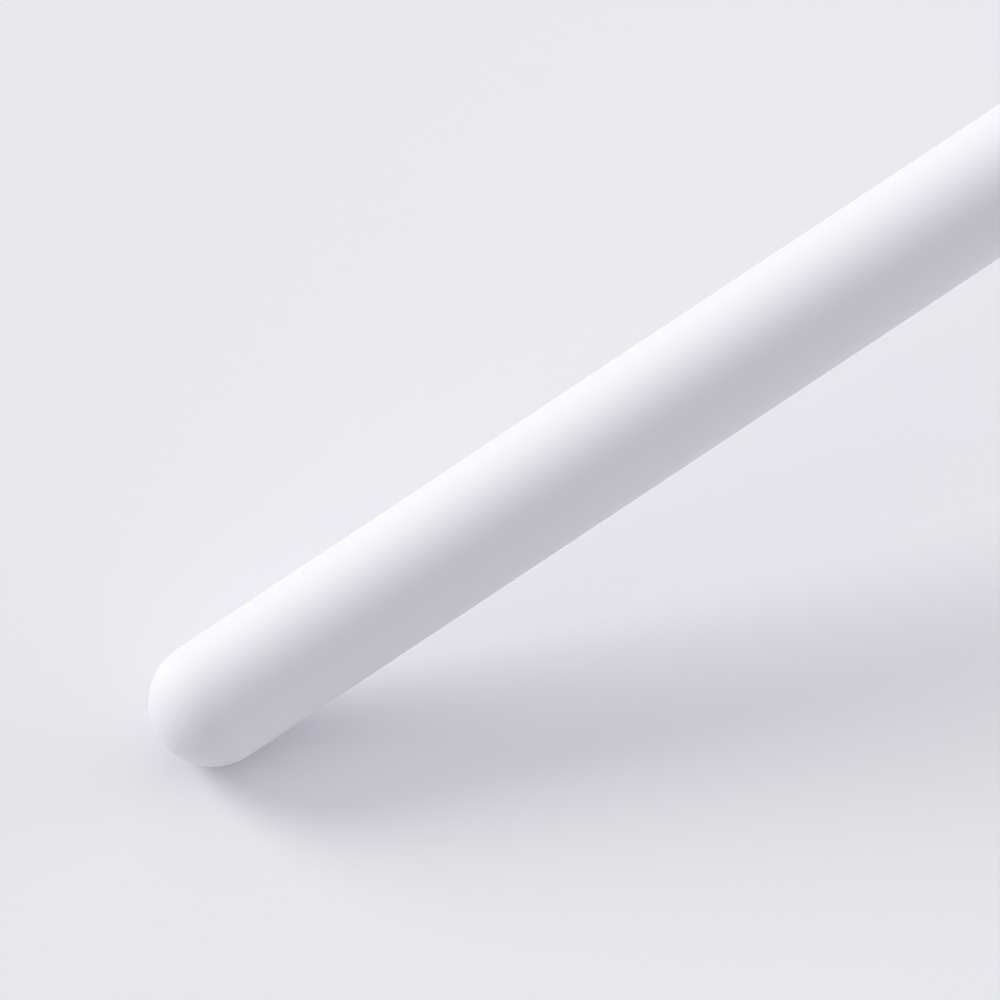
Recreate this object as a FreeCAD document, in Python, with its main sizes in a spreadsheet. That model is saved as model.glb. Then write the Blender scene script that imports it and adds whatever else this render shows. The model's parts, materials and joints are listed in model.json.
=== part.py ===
"""A slim round drawing stylus for a tablet, as an assembly of separate pieces.

Lengths are in millimetres. The pen lies along X with its domed tail at -X and its nib at +X,
and it rests on the flat of its barrel, which is at z = 0. Every piece is drawn round the pen's
own axis and then lifted by axis_height.
"""

import FreeCAD
import Part
import Sketcher
import math
import os
import re

doc = FreeCAD.newDocument("drawing_stylus")

# Driving sizes: name, millimetres, what it is.
SIZES = [
    # The casing.
    ("overall_length", 166.0, "domed tail to nib tip"),
    ("barrel_diameter", 8.9, "outside of the barrel"),
    ("barrel_wall", 0.75, "wall of the barrel tube and its dome"),
    ("flat_cut", 0.3, "depth of the flat below the round of the barrel"),
    ("nose_length", 10.0, "taper from the barrel to the lip"),
    ("lip_diameter", 6.6, "front end of the nose"),
    ("nose_front_wall", 5.0, "solid front of the nose"),
    ("spigot_length", 5.0, "part of the nose that is bonded into the barrel"),
    ("spigot_wall", 0.55, "wall of that spigot"),
    # Clearances.
    ("bond_gap", 0.04, "glue line between bonded pieces"),
    ("slip_gap", 0.1, "round a piece that slides in when the pen is put together"),
    ("running_gap", 0.03, "round a moving shaft"),
    ("contact_gap", 0.02, "between pieces that rest on each other"),
    # The nib and the stud that carries it.
    ("nib_length", 9.6, "base to tip"),
    ("nib_step", 0.05, "how far the nib's base stands inside the lip"),
    ("nib_tip_radius", 0.6, "ball at the writing end"),
    ("nib_travel", 0.3, "movement under full pressure"),
    ("nib_stop_gap", 0.1, "gap left at the lip under full pressure"),
    ("nib_recess", 0.5, "depth of the stud's shoulder inside the nib"),
    ("thread_diameter", 1.96, "stud's thread"),
    ("thread_length", 3.4, "stud's thread"),
    ("thread_lead_in", 0.2, "bevel at the end of the thread"),
    ("insert_length", 3.2, "threaded insert in the nib"),
    ("insert_wall", 0.5, "threaded insert in the nib"),
    ("washer_thickness", 0.4, "washer between shoulder and insert"),
    ("washer_width", 0.55, "washer, hole to rim"),
    ("stud_diameter", 2.2, "sliding shaft of the stud"),
    ("collar_thickness", 0.8, "collar that carries the spring"),
    ("collar_width", 0.75, "collar beyond the shaft"),
    ("pin_diameter", 1.5, "tail of the stud inside the spring"),
    ("pin_length", 1.5, "tail of the stud inside the spring"),
    # The pressure sensor.
    ("spring_length", 2.4, "return spring at rest"),
    ("spring_diameter", 3.2, "outside of the spring"),
    ("spring_wire", 0.32, "wire of the spring"),
    ("guide_length", 3.2, "bush that guides the stud"),
    ("housing_wall", 0.45, "tube round the sensor"),
    ("housing_lip", 0.4, "front rim of that tube"),
    ("boss_height", 0.6, "spring seat on the force sensor"),
    ("boss_diameter", 3.5, "spring seat on the force sensor"),
    ("sensor_disc", 0.8, "thickness of the force sensor's disc"),
    ("retainer_length", 1.9, "ring that holds the sensor in its tube"),
    ("retainer_hole", 2.6, "opening of that ring"),
    ("housing_tail", 0.3, "tube behind the ring"),
    # The nose fittings.
    ("seal_section", 0.5, "thickness of the shaft seal"),
    ("seal_setback", 2.6, "seal behind the lip"),
    ("nose_bore_gap", 0.2, "hole in the nose round the stud"),
    ("electrode_radius", 2.1, "inside of the tilt electrode"),
    ("electrode_wall", 0.4, "wall of the tilt electrode"),
    ("electrode_length", 3.2, "tilt electrode"),
    # The chassis and its board.
    ("chassis_length", 77.5, "bulkhead to bulkhead"),
    ("bulkhead", 1.5, "thickness of each bulkhead"),
    ("board_seat", 0.2, "height of the board's underside above the axis"),
    ("board_thickness", 0.6, "main board"),
    ("board_margin", 0.55, "board's edge to the chassis's round"),
    ("board_end_gap", 0.3, "board to bulkhead"),
    ("screw_setback", 5.0, "screw from the board's end"),
    ("screw_shank", 1.0, "screw diameter"),
    ("screw_depth", 1.6, "screw below its head"),
    ("screw_head", 1.9, "head diameter"),
    ("screw_head_height", 0.5, "head height"),
    ("cable_slot", 2.6, "slot for the flat cables in the bulkheads"),
    ("cable_width", 1.4, "flat cables"),
    ("film_thickness", 0.12, "flat cables and films"),
    ("connector_length", 1.6, "sockets of the flat cables"),
    ("connector_width", 2.8, "sockets of the flat cables"),
    ("connector_height", 0.8, "sockets of the flat cables"),
    ("connector_setback", 0.8, "socket from the board's end"),
    # What lies in the chassis's channel, against the flat.
    ("channel_margin", 0.05, "round the pieces in the channel"),
    ("channel_web", 2.0, "chassis left between two bays"),
    ("coil_length", 20.0, "charging coil with its core's flanges"),
    ("coil_width", 3.0, "across the charging coil"),
    ("coil_height", 1.4, "charging coil"),
    ("coil_wall", 0.25, "depth of the winding"),
    ("core_flange", 1.0, "flange at each end of the core"),
    ("magnet_length", 7.5, "one magnet"),
    ("magnet_width", 2.6, "one magnet"),
    ("magnet_gap", 0.2, "between magnets"),
    ("keeper_thickness", 0.3, "steel strip behind the magnets"),
    # Films bonded inside the barrel.
    ("touch_length", 36.0, "touch film"),
    ("antenna_length", 24.0, "antenna film"),
    ("film_setback", 2.0, "film from the bulkhead"),
    ("film_edge", 1.2, "height of the film's edges above the axis"),
    # The battery.
    ("tail_to_cell", 8.0, "outside of the tail to the cushion's front"),
    ("cushion_gap", 0.25, "cushion to the dome's inside"),
    ("cushion_recess", 1.2, "hollow in the cushion"),
    ("cushion_hole", 3.2, "hollow in the cushion"),
    ("cell_play", 0.35, "sleeved cell to the barrel's bore"),
    ("sleeve_wall", 0.1, "insulating sleeve"),
    ("cell_edge", 0.3, "rolled edge of the cell"),
    ("terminal_diameter", 1.8, "front terminal"),
    ("terminal_height", 0.3, "front terminal"),
    ("tab_length", 0.6, "tabs from cell to battery board"),
    ("tab_width", 0.8, "tabs"),
    ("tab_thickness", 0.15, "tabs"),
    ("tab_spread", 1.4, "tab from the middle"),
    ("battery_board_thickness", 0.6, "battery's protection board"),
    ("battery_board_gap", 0.4, "battery board to chassis"),
]

# Sizes and places worked out from the driving sizes.
# Words that end in _x are places along the pen, with 0 at its middle.
PLACES = [
    ("tail_x", "-overall_length / 2"),
    ("tip_x", "overall_length / 2"),
    ("barrel_radius", "barrel_diameter / 2"),
    ("bore_radius", "barrel_radius - barrel_wall"),
    ("axis_height", "barrel_radius - flat_cut"),
    ("dome_x", "tail_x + barrel_radius"),
    ("lip_radius", "lip_diameter / 2"),
    # Nib and stud, from the tip backwards.
    ("nib_base_x", "tip_x - nib_length"),
    ("nib_radius", "lip_radius - nib_step"),
    ("lip_x", "nib_base_x - nib_travel - nib_stop_gap"),
    ("nose_x", "lip_x - nose_length"),
    ("spigot_x", "nose_x - spigot_length"),
    ("spigot_radius", "bore_radius - bond_gap"),
    ("cavity_radius", "spigot_radius - spigot_wall"),
    ("cavity_x", "lip_x - nose_front_wall"),
    ("shoulder_x", "nib_base_x + nib_recess"),
    ("thread_radius", "thread_diameter / 2"),
    ("thread_bore", "thread_radius + bond_gap"),
    ("thread_end_x", "shoulder_x + thread_length"),
    ("washer_x", "shoulder_x + contact_gap"),
    ("washer_radius", "thread_bore + washer_width"),
    ("insert_x", "washer_x + washer_thickness + contact_gap"),
    ("insert_end_x", "insert_x + insert_length"),
    ("insert_radius", "thread_bore + insert_wall"),
    ("stud_radius", "stud_diameter / 2"),
    # The nib's straight side meets its ball where both have the same direction.
    ("ball_x", "tip_x - nib_tip_radius"),
    ("ball_distance", "sqrt((ball_x - nib_base_x)^2 + nib_radius^2)"),
    ("side_length", "sqrt(ball_distance^2 - nib_tip_radius^2)"),
    ("side_sine", "(nib_radius * side_length - (ball_x - nib_base_x) * nib_tip_radius)"
                  " / ball_distance^2"),
    ("side_cosine", "((ball_x - nib_base_x) * side_length + nib_radius * nib_tip_radius)"
                    " / ball_distance^2"),
    # Pressure sensor, from the nose's cavity backwards.
    ("housing_front_x", "cavity_x - slip_gap"),
    ("housing_radius", "cavity_radius - slip_gap"),
    ("housing_bore", "housing_radius - housing_wall"),
    ("sensor_radius", "housing_bore - contact_gap"),
    ("guide_front_x", "housing_front_x - housing_lip - contact_gap"),
    ("guide_x", "guide_front_x - guide_length"),
    ("collar_front_x", "guide_x - contact_gap"),
    ("collar_x", "collar_front_x - collar_thickness"),
    ("collar_radius", "stud_radius + collar_width"),
    ("spring_x", "collar_x - contact_gap - spring_length"),
    ("spring_radius", "spring_diameter / 2"),
    ("boss_x", "spring_x - contact_gap"),
    ("disc_front_x", "boss_x - boss_height"),
    ("disc_x", "disc_front_x - sensor_disc"),
    ("retainer_front_x", "disc_x - contact_gap"),
    ("retainer_x", "retainer_front_x - retainer_length"),
    ("housing_x", "retainer_x - housing_tail"),
    # Nose fittings.
    ("seal_x", "lip_x - seal_setback"),
    ("seal_radius", "stud_radius + running_gap + seal_section / 2"),
    ("groove_radius", "stud_radius + running_gap + seal_section + contact_gap"),
    ("groove_half", "seal_section / 2 + running_gap"),
    ("electrode_outer", "electrode_radius + electrode_wall"),
    # Chassis and main board, behind the sensor.
    ("chassis_front_x", "housing_x - battery_board_gap"),
    ("chassis_x", "chassis_front_x - chassis_length"),
    ("chassis_radius", "bore_radius - slip_gap"),
    ("seat_half", "sqrt(chassis_radius^2 - board_seat^2)"),
    ("board_x", "chassis_x + bulkhead + board_end_gap"),
    ("board_front_x", "chassis_front_x - bulkhead - board_end_gap"),
    ("board_half", "seat_half - board_margin"),
    ("board_top", "board_seat + board_thickness"),
    ("rear_screw_x", "board_x + screw_setback"),
    ("front_screw_x", "board_front_x - screw_setback"),
    ("screw_hole", "screw_shank / 2 + contact_gap"),
    # The channel under the chassis.
    ("channel_half", "coil_width / 2 + channel_margin"),
    ("channel_floor", "-sqrt(chassis_radius^2 - (coil_width / 2)^2)"),
    ("channel_roof", "channel_floor + coil_height + channel_margin"),
    ("magnet_height", "coil_height - keeper_thickness - contact_gap"),
    ("magnet_pitch", "magnet_length + magnet_gap"),
    ("rear_magnets_x", "chassis_x + bulkhead + channel_web"),
    ("rear_magnets_end_x", "rear_magnets_x + 3 * magnet_pitch - magnet_gap"),
    ("coil_x", "rear_magnets_end_x + channel_web + 2 * channel_margin"),
    ("coil_end_x", "coil_x + coil_length"),
    ("front_magnets_x", "coil_end_x + channel_web + 2 * channel_margin"),
    ("front_magnets_end_x", "front_magnets_x + 2 * magnet_pitch - magnet_gap"),
    ("core_half", "coil_width / 2 - coil_wall"),
    # Films inside the barrel.
    ("film_outer", "bore_radius - bond_gap"),
    ("film_inner", "film_outer - film_thickness"),
    ("film_outer_half", "sqrt(film_outer^2 - film_edge^2)"),
    ("film_inner_half", "sqrt(film_inner^2 - film_edge^2)"),
    ("touch_x", "chassis_front_x - bulkhead - film_setback - touch_length"),
    ("antenna_x", "chassis_x + bulkhead + film_setback"),
    # Battery, which fills what is left behind the chassis.
    ("battery_board_front_x", "chassis_x - battery_board_gap"),
    ("battery_board_x", "battery_board_front_x - battery_board_thickness"),
    ("cell_end_x", "battery_board_x - tab_length"),
    ("cushion_front_x", "tail_x + tail_to_cell"),
    ("cushion_radius", "bore_radius - cushion_gap"),
    ("cell_x", "cushion_front_x + slip_gap"),
    ("sleeve_radius", "bore_radius - cell_play"),
    ("sleeve_bore", "sleeve_radius - sleeve_wall"),
    ("cell_radius", "sleeve_bore - contact_gap"),
]

sheet = doc.addObject("Spreadsheet::Sheet", "Sizes")
for row, (alias, number, meaning) in enumerate(SIZES, start=1):
    sheet.set(f"A{row}", meaning)
    sheet.set(f"B{row}", str(number))
    sheet.setAlias(f"B{row}", alias)

OWNER = {alias: "Sizes." for alias, number, meaning in SIZES}
OWNER.update({name: "Places." for name, expression in PLACES})


def bound(expression):
    """Turn the plain names in an expression into references to the sheet and the places."""
    return re.sub(r"[a-z_]+", lambda word: OWNER.get(word.group(), "") + word.group(), expression)


places = doc.addObject("App::VarSet", "Places")
for place, expression in PLACES:
    places.addProperty("App::PropertyFloat", place, "Places")
    places.setExpression(place, bound(expression))
probe = doc.addObject("App::VarSet", "Probe")
probe.addProperty("App::PropertyFloat", "reading", "Probe")
doc.recompute()

NODES = {}


def value(expression):
    """The number that an expression comes to, for a sketch's first guess."""
    probe.setExpression("reading", bound(expression))
    probe.recompute()
    return probe.reading


def node(piece):
    """Keep a piece as one of the sub-parts."""
    NODES[piece.Label] = piece
    return piece


def new_body(label):
    """A body drawn round the pen's axis and lifted to its height above the rest."""
    body = doc.addObject("PartDesign::Body", label)
    body.setExpression("Placement.Base.z", bound("axis_height"))
    return node(body)


def new_sketch(body, name, role, offset):
    """A sketch on one of the body's own origin planes, moved along the plane's normal."""
    sketch = body.newObject("Sketcher::SketchObject", name)
    plane = next(feature for feature in body.Origin.OriginFeatures if feature.Role == role)
    sketch.AttachmentSupport = [(plane, "")]
    sketch.MapMode = "FlatFace"
    sketch.setExpression("AttachmentOffset.Base.z", bound(offset))
    return sketch


def bind(sketch, kind, name, picks, expression):
    """Add one dimension to a sketch and bind it to an expression."""
    number = sketch.addConstraint(Sketcher.Constraint(kind, *picks, value(expression)))
    sketch.renameConstraint(number, name)
    sketch.setExpression("Constraints." + name, bound(expression))


def arc_between(start, end, side, radius):
    """The shorter arc from start to end, centred on the left or right of its direction."""
    chord = end - start
    sign = 1 if side == "left" else -1
    across = FreeCAD.Vector(-chord.y, chord.x, 0).normalize() * sign
    middle = (start + end) * 0.5
    centre = middle + across * math.sqrt(max(radius ** 2 - (chord.Length / 2) ** 2, 0))
    angles = [math.atan2(point.y - centre.y, point.x - centre.x) for point in (start, end)]
    if side == "right":
        angles.reverse()
    circle = Part.Circle(centre, FreeCAD.Vector(0, 0, 1), radius)
    return Part.ArcOfCircle(circle, *angles)


def outline(body, name, role, corners, offset="0"):
    """A closed outline. Each corner is (x, y). A side and a radius after them make the edge that
    leaves the corner an arc."""
    sketch = new_sketch(body, name, role, offset)
    points = [FreeCAD.Vector(value(corner[0]), value(corner[1]), 0) for corner in corners]
    ends = []
    for index, corner in enumerate(corners):
        start = points[index]
        end = points[(index + 1) % len(points)]
        if len(corner) == 2:
            sketch.addGeometry(Part.LineSegment(start, end))
            ends.append((1, 2))
        else:
            side, radius = corner[2:]
            sketch.addGeometry(arc_between(start, end, side, value(radius)))
            ends.append((1, 2) if side == "left" else (2, 1))
    for index, corner in enumerate(corners):
        following = (index + 1) % len(corners)
        joined = (index, ends[index][1], following, ends[following][0])
        sketch.addConstraint(Sketcher.Constraint("Coincident", *joined))
        bind(sketch, "DistanceX", f"across_{index}", (index, ends[index][0]), corner[0])
        bind(sketch, "DistanceY", f"up_{index}", (index, ends[index][0]), corner[1])
        if len(corner) > 2:
            bind(sketch, "Radius", f"round_{index}", (index,), corner[3])
    return sketch


def circles(body, name, role, centres, radius, offset="0"):
    """A sketch of circles of one radius."""
    sketch = new_sketch(body, name, role, offset)
    for index, (across, up) in enumerate(centres):
        centre = FreeCAD.Vector(value(across), value(up), 0)
        sketch.addGeometry(Part.Circle(centre, FreeCAD.Vector(0, 0, 1), value(radius)))
        bind(sketch, "DistanceX", f"across_{index}", (index, 3), across)
        bind(sketch, "DistanceY", f"up_{index}", (index, 3), up)
        bind(sketch, "Radius", f"round_{index}", (index,), radius)
    return sketch


def box_outline(low_x, low_y, high_x, high_y):
    """The corners of an upright rectangle."""
    return [(low_x, low_y), (high_x, low_y), (high_x, high_y), (low_x, high_y)]


def turned(label, corners):
    """A body turned about the pen's axis from half of its lengthwise section."""
    body = new_body(label)
    section = outline(body, label + "_section", "XZ_Plane", corners)
    turn = body.newObject("PartDesign::Revolution", label + "_turn")
    turn.Profile = section
    turn.ReferenceAxis = (section, ["H_Axis"])
    turn.Angle = 360
    return body


def pad(body, sketch, length):
    """Raise a sketch along its plane's normal."""
    solid = body.newObject("PartDesign::Pad", sketch.Label + "_pad")
    solid.Profile = sketch
    solid.setExpression("Length", bound(length))
    return solid


def cut(body, sketch, depth=None, both_ways=False):
    """Cut a sketch into the body against its plane's normal, to a depth or right through."""
    pocket = body.newObject("PartDesign::Pocket", sketch.Label + "_cut")
    pocket.Profile = sketch
    if both_ways:
        pocket.SideType = "Symmetric"
    if depth is None:
        pocket.Type = "ThroughAll"
    else:
        pocket.setExpression("Length", bound(depth))
    return pocket


def cut_flat(body):
    """Cut the resting flat, which runs out by itself where the casing gets narrower."""
    low = "-axis_height - barrel_radius"
    span = box_outline("tail_x", low, "tip_x", "-axis_height")
    cut(body, outline(body, body.Label + "_flat", "XZ_Plane", span), both_ways=True)


def block(label, corner, size):
    """A rectangular piece, from its low corner and its length, width and height."""
    piece = doc.addObject("Part::Box", label)
    for side, expression in zip(("Length", "Width", "Height"), size):
        piece.setExpression(side, bound(expression))
    for axis, expression in zip("xyz", corner):
        lift = "axis_height + " if axis == "z" else ""
        piece.setExpression("Placement.Base." + axis, bound(lift + expression))
    return piece


def centred_block(label, start_x, bottom, length, width, height):
    """A block that is centred across the pen."""
    return block(label, (start_x, f"-({width}) / 2", bottom), (length, width, height))


def post(label, centre_x, bottom, radius, height):
    """An upright round piece on the pen's middle line."""
    piece = doc.addObject("Part::Cylinder", label)
    piece.setExpression("Radius", bound(radius))
    piece.setExpression("Height", bound(height))
    piece.setExpression("Placement.Base.x", bound(centre_x))
    piece.setExpression("Placement.Base.z", bound("axis_height + " + bottom))
    return piece


def group(label, pieces):
    """Separate solids of one kind in one node."""
    compound = doc.addObject("Part::Compound", label)
    compound.Links = pieces
    return node(compound)


def joined(label, base, tool, kind="Part::Fuse"):
    """Two solids as one, or one cut from the other."""
    result = doc.addObject(kind, label)
    result.Base = base
    result.Tool = tool
    return result


def make_casing():
    """The barrel with its domed tail, and the tapered nose that is bonded into its front."""
    barrel = turned("barrel", [
        ("tail_x", "0", "right", "barrel_radius"),
        ("dome_x", "barrel_radius"),
        ("nose_x - bond_gap", "barrel_radius"),
        ("nose_x - bond_gap", "bore_radius"),
        ("dome_x", "bore_radius", "left", "bore_radius"),
        ("dome_x - bore_radius", "0"),
    ])
    cut_flat(barrel)
    nose = turned("nose_cone", [
        ("spigot_x", "cavity_radius"),
        ("spigot_x", "spigot_radius"),
        ("nose_x", "spigot_radius"),
        ("nose_x", "barrel_radius"),
        ("lip_x", "lip_radius"),
        ("lip_x", "stud_radius + nose_bore_gap"),
        ("seal_x + groove_half", "stud_radius + nose_bore_gap"),
        ("seal_x + groove_half", "groove_radius"),
        ("seal_x - groove_half", "groove_radius"),
        ("seal_x - groove_half", "stud_radius + nose_bore_gap"),
        ("cavity_x", "stud_radius + nose_bore_gap"),
        ("cavity_x", "electrode_radius - bond_gap"),
        ("cavity_x + electrode_length + 2 * bond_gap", "electrode_radius - bond_gap"),
        ("cavity_x + electrode_length + 2 * bond_gap", "electrode_outer + bond_gap"),
        ("cavity_x", "electrode_outer + bond_gap"),
        ("cavity_x", "cavity_radius"),
    ])
    cut_flat(nose)


def make_nose_fittings():
    """The tilt electrode in the nose's front wall, and the ring that seals the stud."""
    turned("tilt_electrode", box_outline(
        "cavity_x + bond_gap", "electrode_radius",
        "cavity_x + bond_gap + electrode_length", "electrode_outer"))
    seal = node(doc.addObject("Part::Torus", "nose_seal"))
    seal.setExpression("Radius1", bound("seal_radius"))
    seal.setExpression("Radius2", bound("seal_section / 2"))
    seal.Placement.Rotation = FreeCAD.Rotation(FreeCAD.Vector(0, 1, 0), 90)
    seal.setExpression("Placement.Base.x", bound("seal_x"))
    seal.setExpression("Placement.Base.z", bound("axis_height"))


def make_nib():
    """The nib, its threaded insert, the washer behind it and the stud that they screw on to."""
    turned("nib", [
        ("nib_base_x", "washer_radius + contact_gap"),
        ("nib_base_x", "nib_radius"),
        ("ball_x + nib_tip_radius * side_sine", "nib_tip_radius * side_cosine",
         "right", "nib_tip_radius"),
        ("tip_x", "0"),
        ("insert_end_x + nib_recess", "0"),
        ("insert_end_x + nib_recess", "thread_bore"),
        ("insert_end_x + contact_gap", "thread_bore"),
        ("insert_end_x + contact_gap", "insert_radius + contact_gap"),
        ("insert_x - contact_gap / 2", "insert_radius + contact_gap"),
        ("insert_x - contact_gap / 2", "washer_radius + contact_gap"),
    ])
    turned("nib_insert", box_outline("insert_x", "thread_bore", "insert_end_x", "insert_radius"))
    turned("nib_washer", box_outline(
        "washer_x", "thread_bore", "washer_x + washer_thickness", "washer_radius"))
    turned("nib_stud", [
        ("collar_x - pin_length", "0"),
        ("collar_x - pin_length", "pin_diameter / 2"),
        ("collar_x", "pin_diameter / 2"),
        ("collar_x", "collar_radius"),
        ("collar_front_x", "collar_radius"),
        ("collar_front_x", "stud_radius"),
        ("shoulder_x", "stud_radius"),
        ("shoulder_x", "thread_radius"),
        ("thread_end_x - thread_lead_in", "thread_radius"),
        ("thread_end_x", "thread_radius - thread_lead_in"),
        ("thread_end_x", "0"),
    ])


def make_pressure_sensor():
    """The tube behind the nose that holds the guide bush, spring and force sensor."""
    turned("sensor_housing", [
        ("housing_x", "housing_bore"),
        ("housing_x", "housing_radius"),
        ("housing_front_x", "housing_radius"),
        ("housing_front_x", "collar_radius"),
        ("housing_front_x - housing_lip", "collar_radius"),
        ("housing_front_x - housing_lip", "housing_bore"),
    ])
    turned("stud_guide", box_outline(
        "guide_x", "stud_radius + running_gap", "guide_front_x", "sensor_radius"))
    turned("return_spring", box_outline(
        "spring_x", "spring_radius - spring_wire", "spring_x + spring_length", "spring_radius"))
    turned("force_sensor", [
        ("disc_x", "0"),
        ("disc_x", "sensor_radius"),
        ("disc_front_x", "sensor_radius"),
        ("disc_front_x", "boss_diameter / 2"),
        ("boss_x", "boss_diameter / 2"),
        ("boss_x", "0"),
    ])
    turned("sensor_retainer", box_outline(
        "retainer_x", "retainer_hole / 2", "retainer_front_x", "sensor_radius"))


def make_chassis():
    """The long tray that carries the board above and the magnets and coil below."""
    body = new_body("chassis")
    tray = outline(body, "tray", "YZ_Plane", [
        ("seat_half", "board_seat"),
        ("-seat_half", "board_seat", "left", "chassis_radius"),
        ("0", "-chassis_radius", "left", "chassis_radius"),
    ], "chassis_x")
    pad(body, tray, "chassis_length")
    for name, start in (("rear_bulkhead", "chassis_x"),
                        ("front_bulkhead", "chassis_front_x - bulkhead")):
        pad(body, circles(body, name, "YZ_Plane", [("0", "0")], "chassis_radius", start), "bulkhead")
    slot = box_outline("-cable_slot / 2", "board_seat", "cable_slot / 2", "bore_radius")
    cut(body, outline(body, "cable_slots", "YZ_Plane", slot), both_ways=True)
    bays = (("rear_bay", "rear_magnets_x", "rear_magnets_end_x"),
            ("coil_bay", "coil_x", "coil_end_x"),
            ("front_bay", "front_magnets_x", "front_magnets_end_x"))
    for name, start, end in bays:
        bay = box_outline(start + " - channel_margin", "-channel_half",
                          end + " + channel_margin", "channel_half")
        cut(body, outline(body, name, "XY_Plane", bay, "channel_roof"))
    holes = [("rear_screw_x", "0"), ("front_screw_x", "0")]
    cut(body, circles(body, "tray_holes", "XY_Plane", holes, "screw_hole", "board_seat"),
        "screw_depth")


def make_main_board():
    """The main board, held on the chassis by two screws."""
    body = new_body("main_board")
    edge = box_outline("board_x", "-board_half", "board_front_x", "board_half")
    pad(body, outline(body, "board_edge", "XY_Plane", edge, "board_seat"), "board_thickness")
    holes = [("rear_screw_x", "0"), ("front_screw_x", "0")]
    cut(body, circles(body, "board_holes", "XY_Plane", holes, "screw_hole", "board_top"))
    screws = []
    for end in ("rear", "front"):
        place = end + "_screw_x"
        head = post(end + "_head", place, "board_top", "screw_head / 2", "screw_head_height")
        shank = post(end + "_shank", place, "board_top - screw_depth", "screw_shank / 2",
                     "screw_depth")
        screws.append(joined(end + "_screw", head, shank))
    group("chassis_screws", screws)
    sockets = [
        centred_block("rear_socket", "board_x + connector_setback", "board_top",
                      "connector_length", "connector_width", "connector_height"),
        centred_block("front_socket", "board_front_x - connector_setback - connector_length",
                      "board_top", "connector_length", "connector_width", "connector_height"),
    ]
    group("cable_sockets", sockets)


# Parts on the board: name, distance from the board's rear end, length, width and height.
CHIPS = [
    ("radio_chip", 10.5, 3.0, 3.0, 0.6),
    ("motion_sensor", 19.5, 2.5, 2.5, 0.7),
    ("processor", 26.0, 4.2, 4.2, 0.8),
    ("power_inductor", 37.5, 2.5, 2.5, 1.1),
    ("charging_chip", 43.0, 3.0, 3.0, 0.6),
    ("touch_chip", 54.0, 2.6, 2.6, 0.6),
]
SHIELD_START = 8.5
SHIELD_SIZE = (7.0, 4.4, 1.1)
SHIELD_WALL = 0.15
CAPACITOR_SIZE = (1.0, 0.5, 0.5)
CAPACITOR_ROWS = (17.0, 23.4, 24.2, 32.0, 33.4, 34.8, 41.0, 47.5, 48.9, 50.3, 51.7, 58.5, 60.0)
CAPACITOR_SPREAD = 1.6


def make_board_parts():
    """The chips, the shield over the radio and the small capacitors beside them."""
    for name, start, *size in CHIPS:
        node(centred_block(name, f"board_x + {start}", "board_top", *map(str, size)))
    length, width, height = SHIELD_SIZE
    outer = centred_block("shield_outside", f"board_x + {SHIELD_START}", "board_top",
                          str(length), str(width), str(height))
    inner = centred_block("shield_inside", f"board_x + {SHIELD_START + SHIELD_WALL}", "board_top",
                          str(length - 2 * SHIELD_WALL), str(width - 2 * SHIELD_WALL),
                          str(height - SHIELD_WALL))
    node(joined("radio_shield", outer, inner, "Part::Cut"))
    pieces = []
    for index, start in enumerate(CAPACITOR_ROWS):
        for side, place in (("left", CAPACITOR_SPREAD),
                            ("right", -CAPACITOR_SPREAD - CAPACITOR_SIZE[1])):
            corner = (f"board_x + {start}", str(place), "board_top")
            pieces.append(block(f"capacitor_{index}_{side}", corner, map(str, CAPACITOR_SIZE)))
    group("capacitors", pieces)


def make_channel_parts():
    """The magnets with their steel strips, and the charging coil on its core, along the flat."""
    keepers = []
    for end, count in (("rear", 3), ("front", 2)):
        start = end + "_magnets_x"
        magnets = [
            centred_block(f"{end}_magnet_{index}", f"{start} + {index} * magnet_pitch",
                          "channel_floor", "magnet_length", "magnet_width", "magnet_height")
            for index in range(count)
        ]
        group(end + "_magnets", magnets)
        keepers.append(centred_block(
            end + "_keeper", start, "channel_floor + magnet_height + contact_gap",
            f"{end}_magnets_end_x - {start}", "magnet_width", "keeper_thickness"))
    group("magnet_keepers", keepers)

    body = new_body("ferrite_core")
    waist = "core_half - contact_gap"
    spool = [
        ("coil_x", "-coil_width / 2"),
        ("coil_x + core_flange", "-coil_width / 2"),
        ("coil_x + core_flange", f"-({waist})"),
        ("coil_end_x - core_flange", f"-({waist})"),
        ("coil_end_x - core_flange", "-coil_width / 2"),
        ("coil_end_x", "-coil_width / 2"),
        ("coil_end_x", "coil_width / 2"),
        ("coil_end_x - core_flange", "coil_width / 2"),
        ("coil_end_x - core_flange", waist),
        ("coil_x + core_flange", waist),
        ("coil_x + core_flange", "coil_width / 2"),
        ("coil_x", "coil_width / 2"),
    ]
    bottom = "channel_floor + coil_wall + contact_gap"
    height = "coil_height - 2 * coil_wall - 2 * contact_gap"
    pad(body, outline(body, "spool", "XY_Plane", spool, bottom), height)

    start = "coil_x + core_flange + contact_gap"
    length = "coil_length - 2 * core_flange - 2 * contact_gap"
    outside = centred_block("winding_outside", start, "channel_floor", length, "coil_width",
                            "coil_height")
    inside = centred_block("winding_inside", start, "channel_floor + coil_wall", length,
                           "2 * core_half", "coil_height - 2 * coil_wall")
    node(joined("charging_coil", outside, inside, "Part::Cut"))


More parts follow.
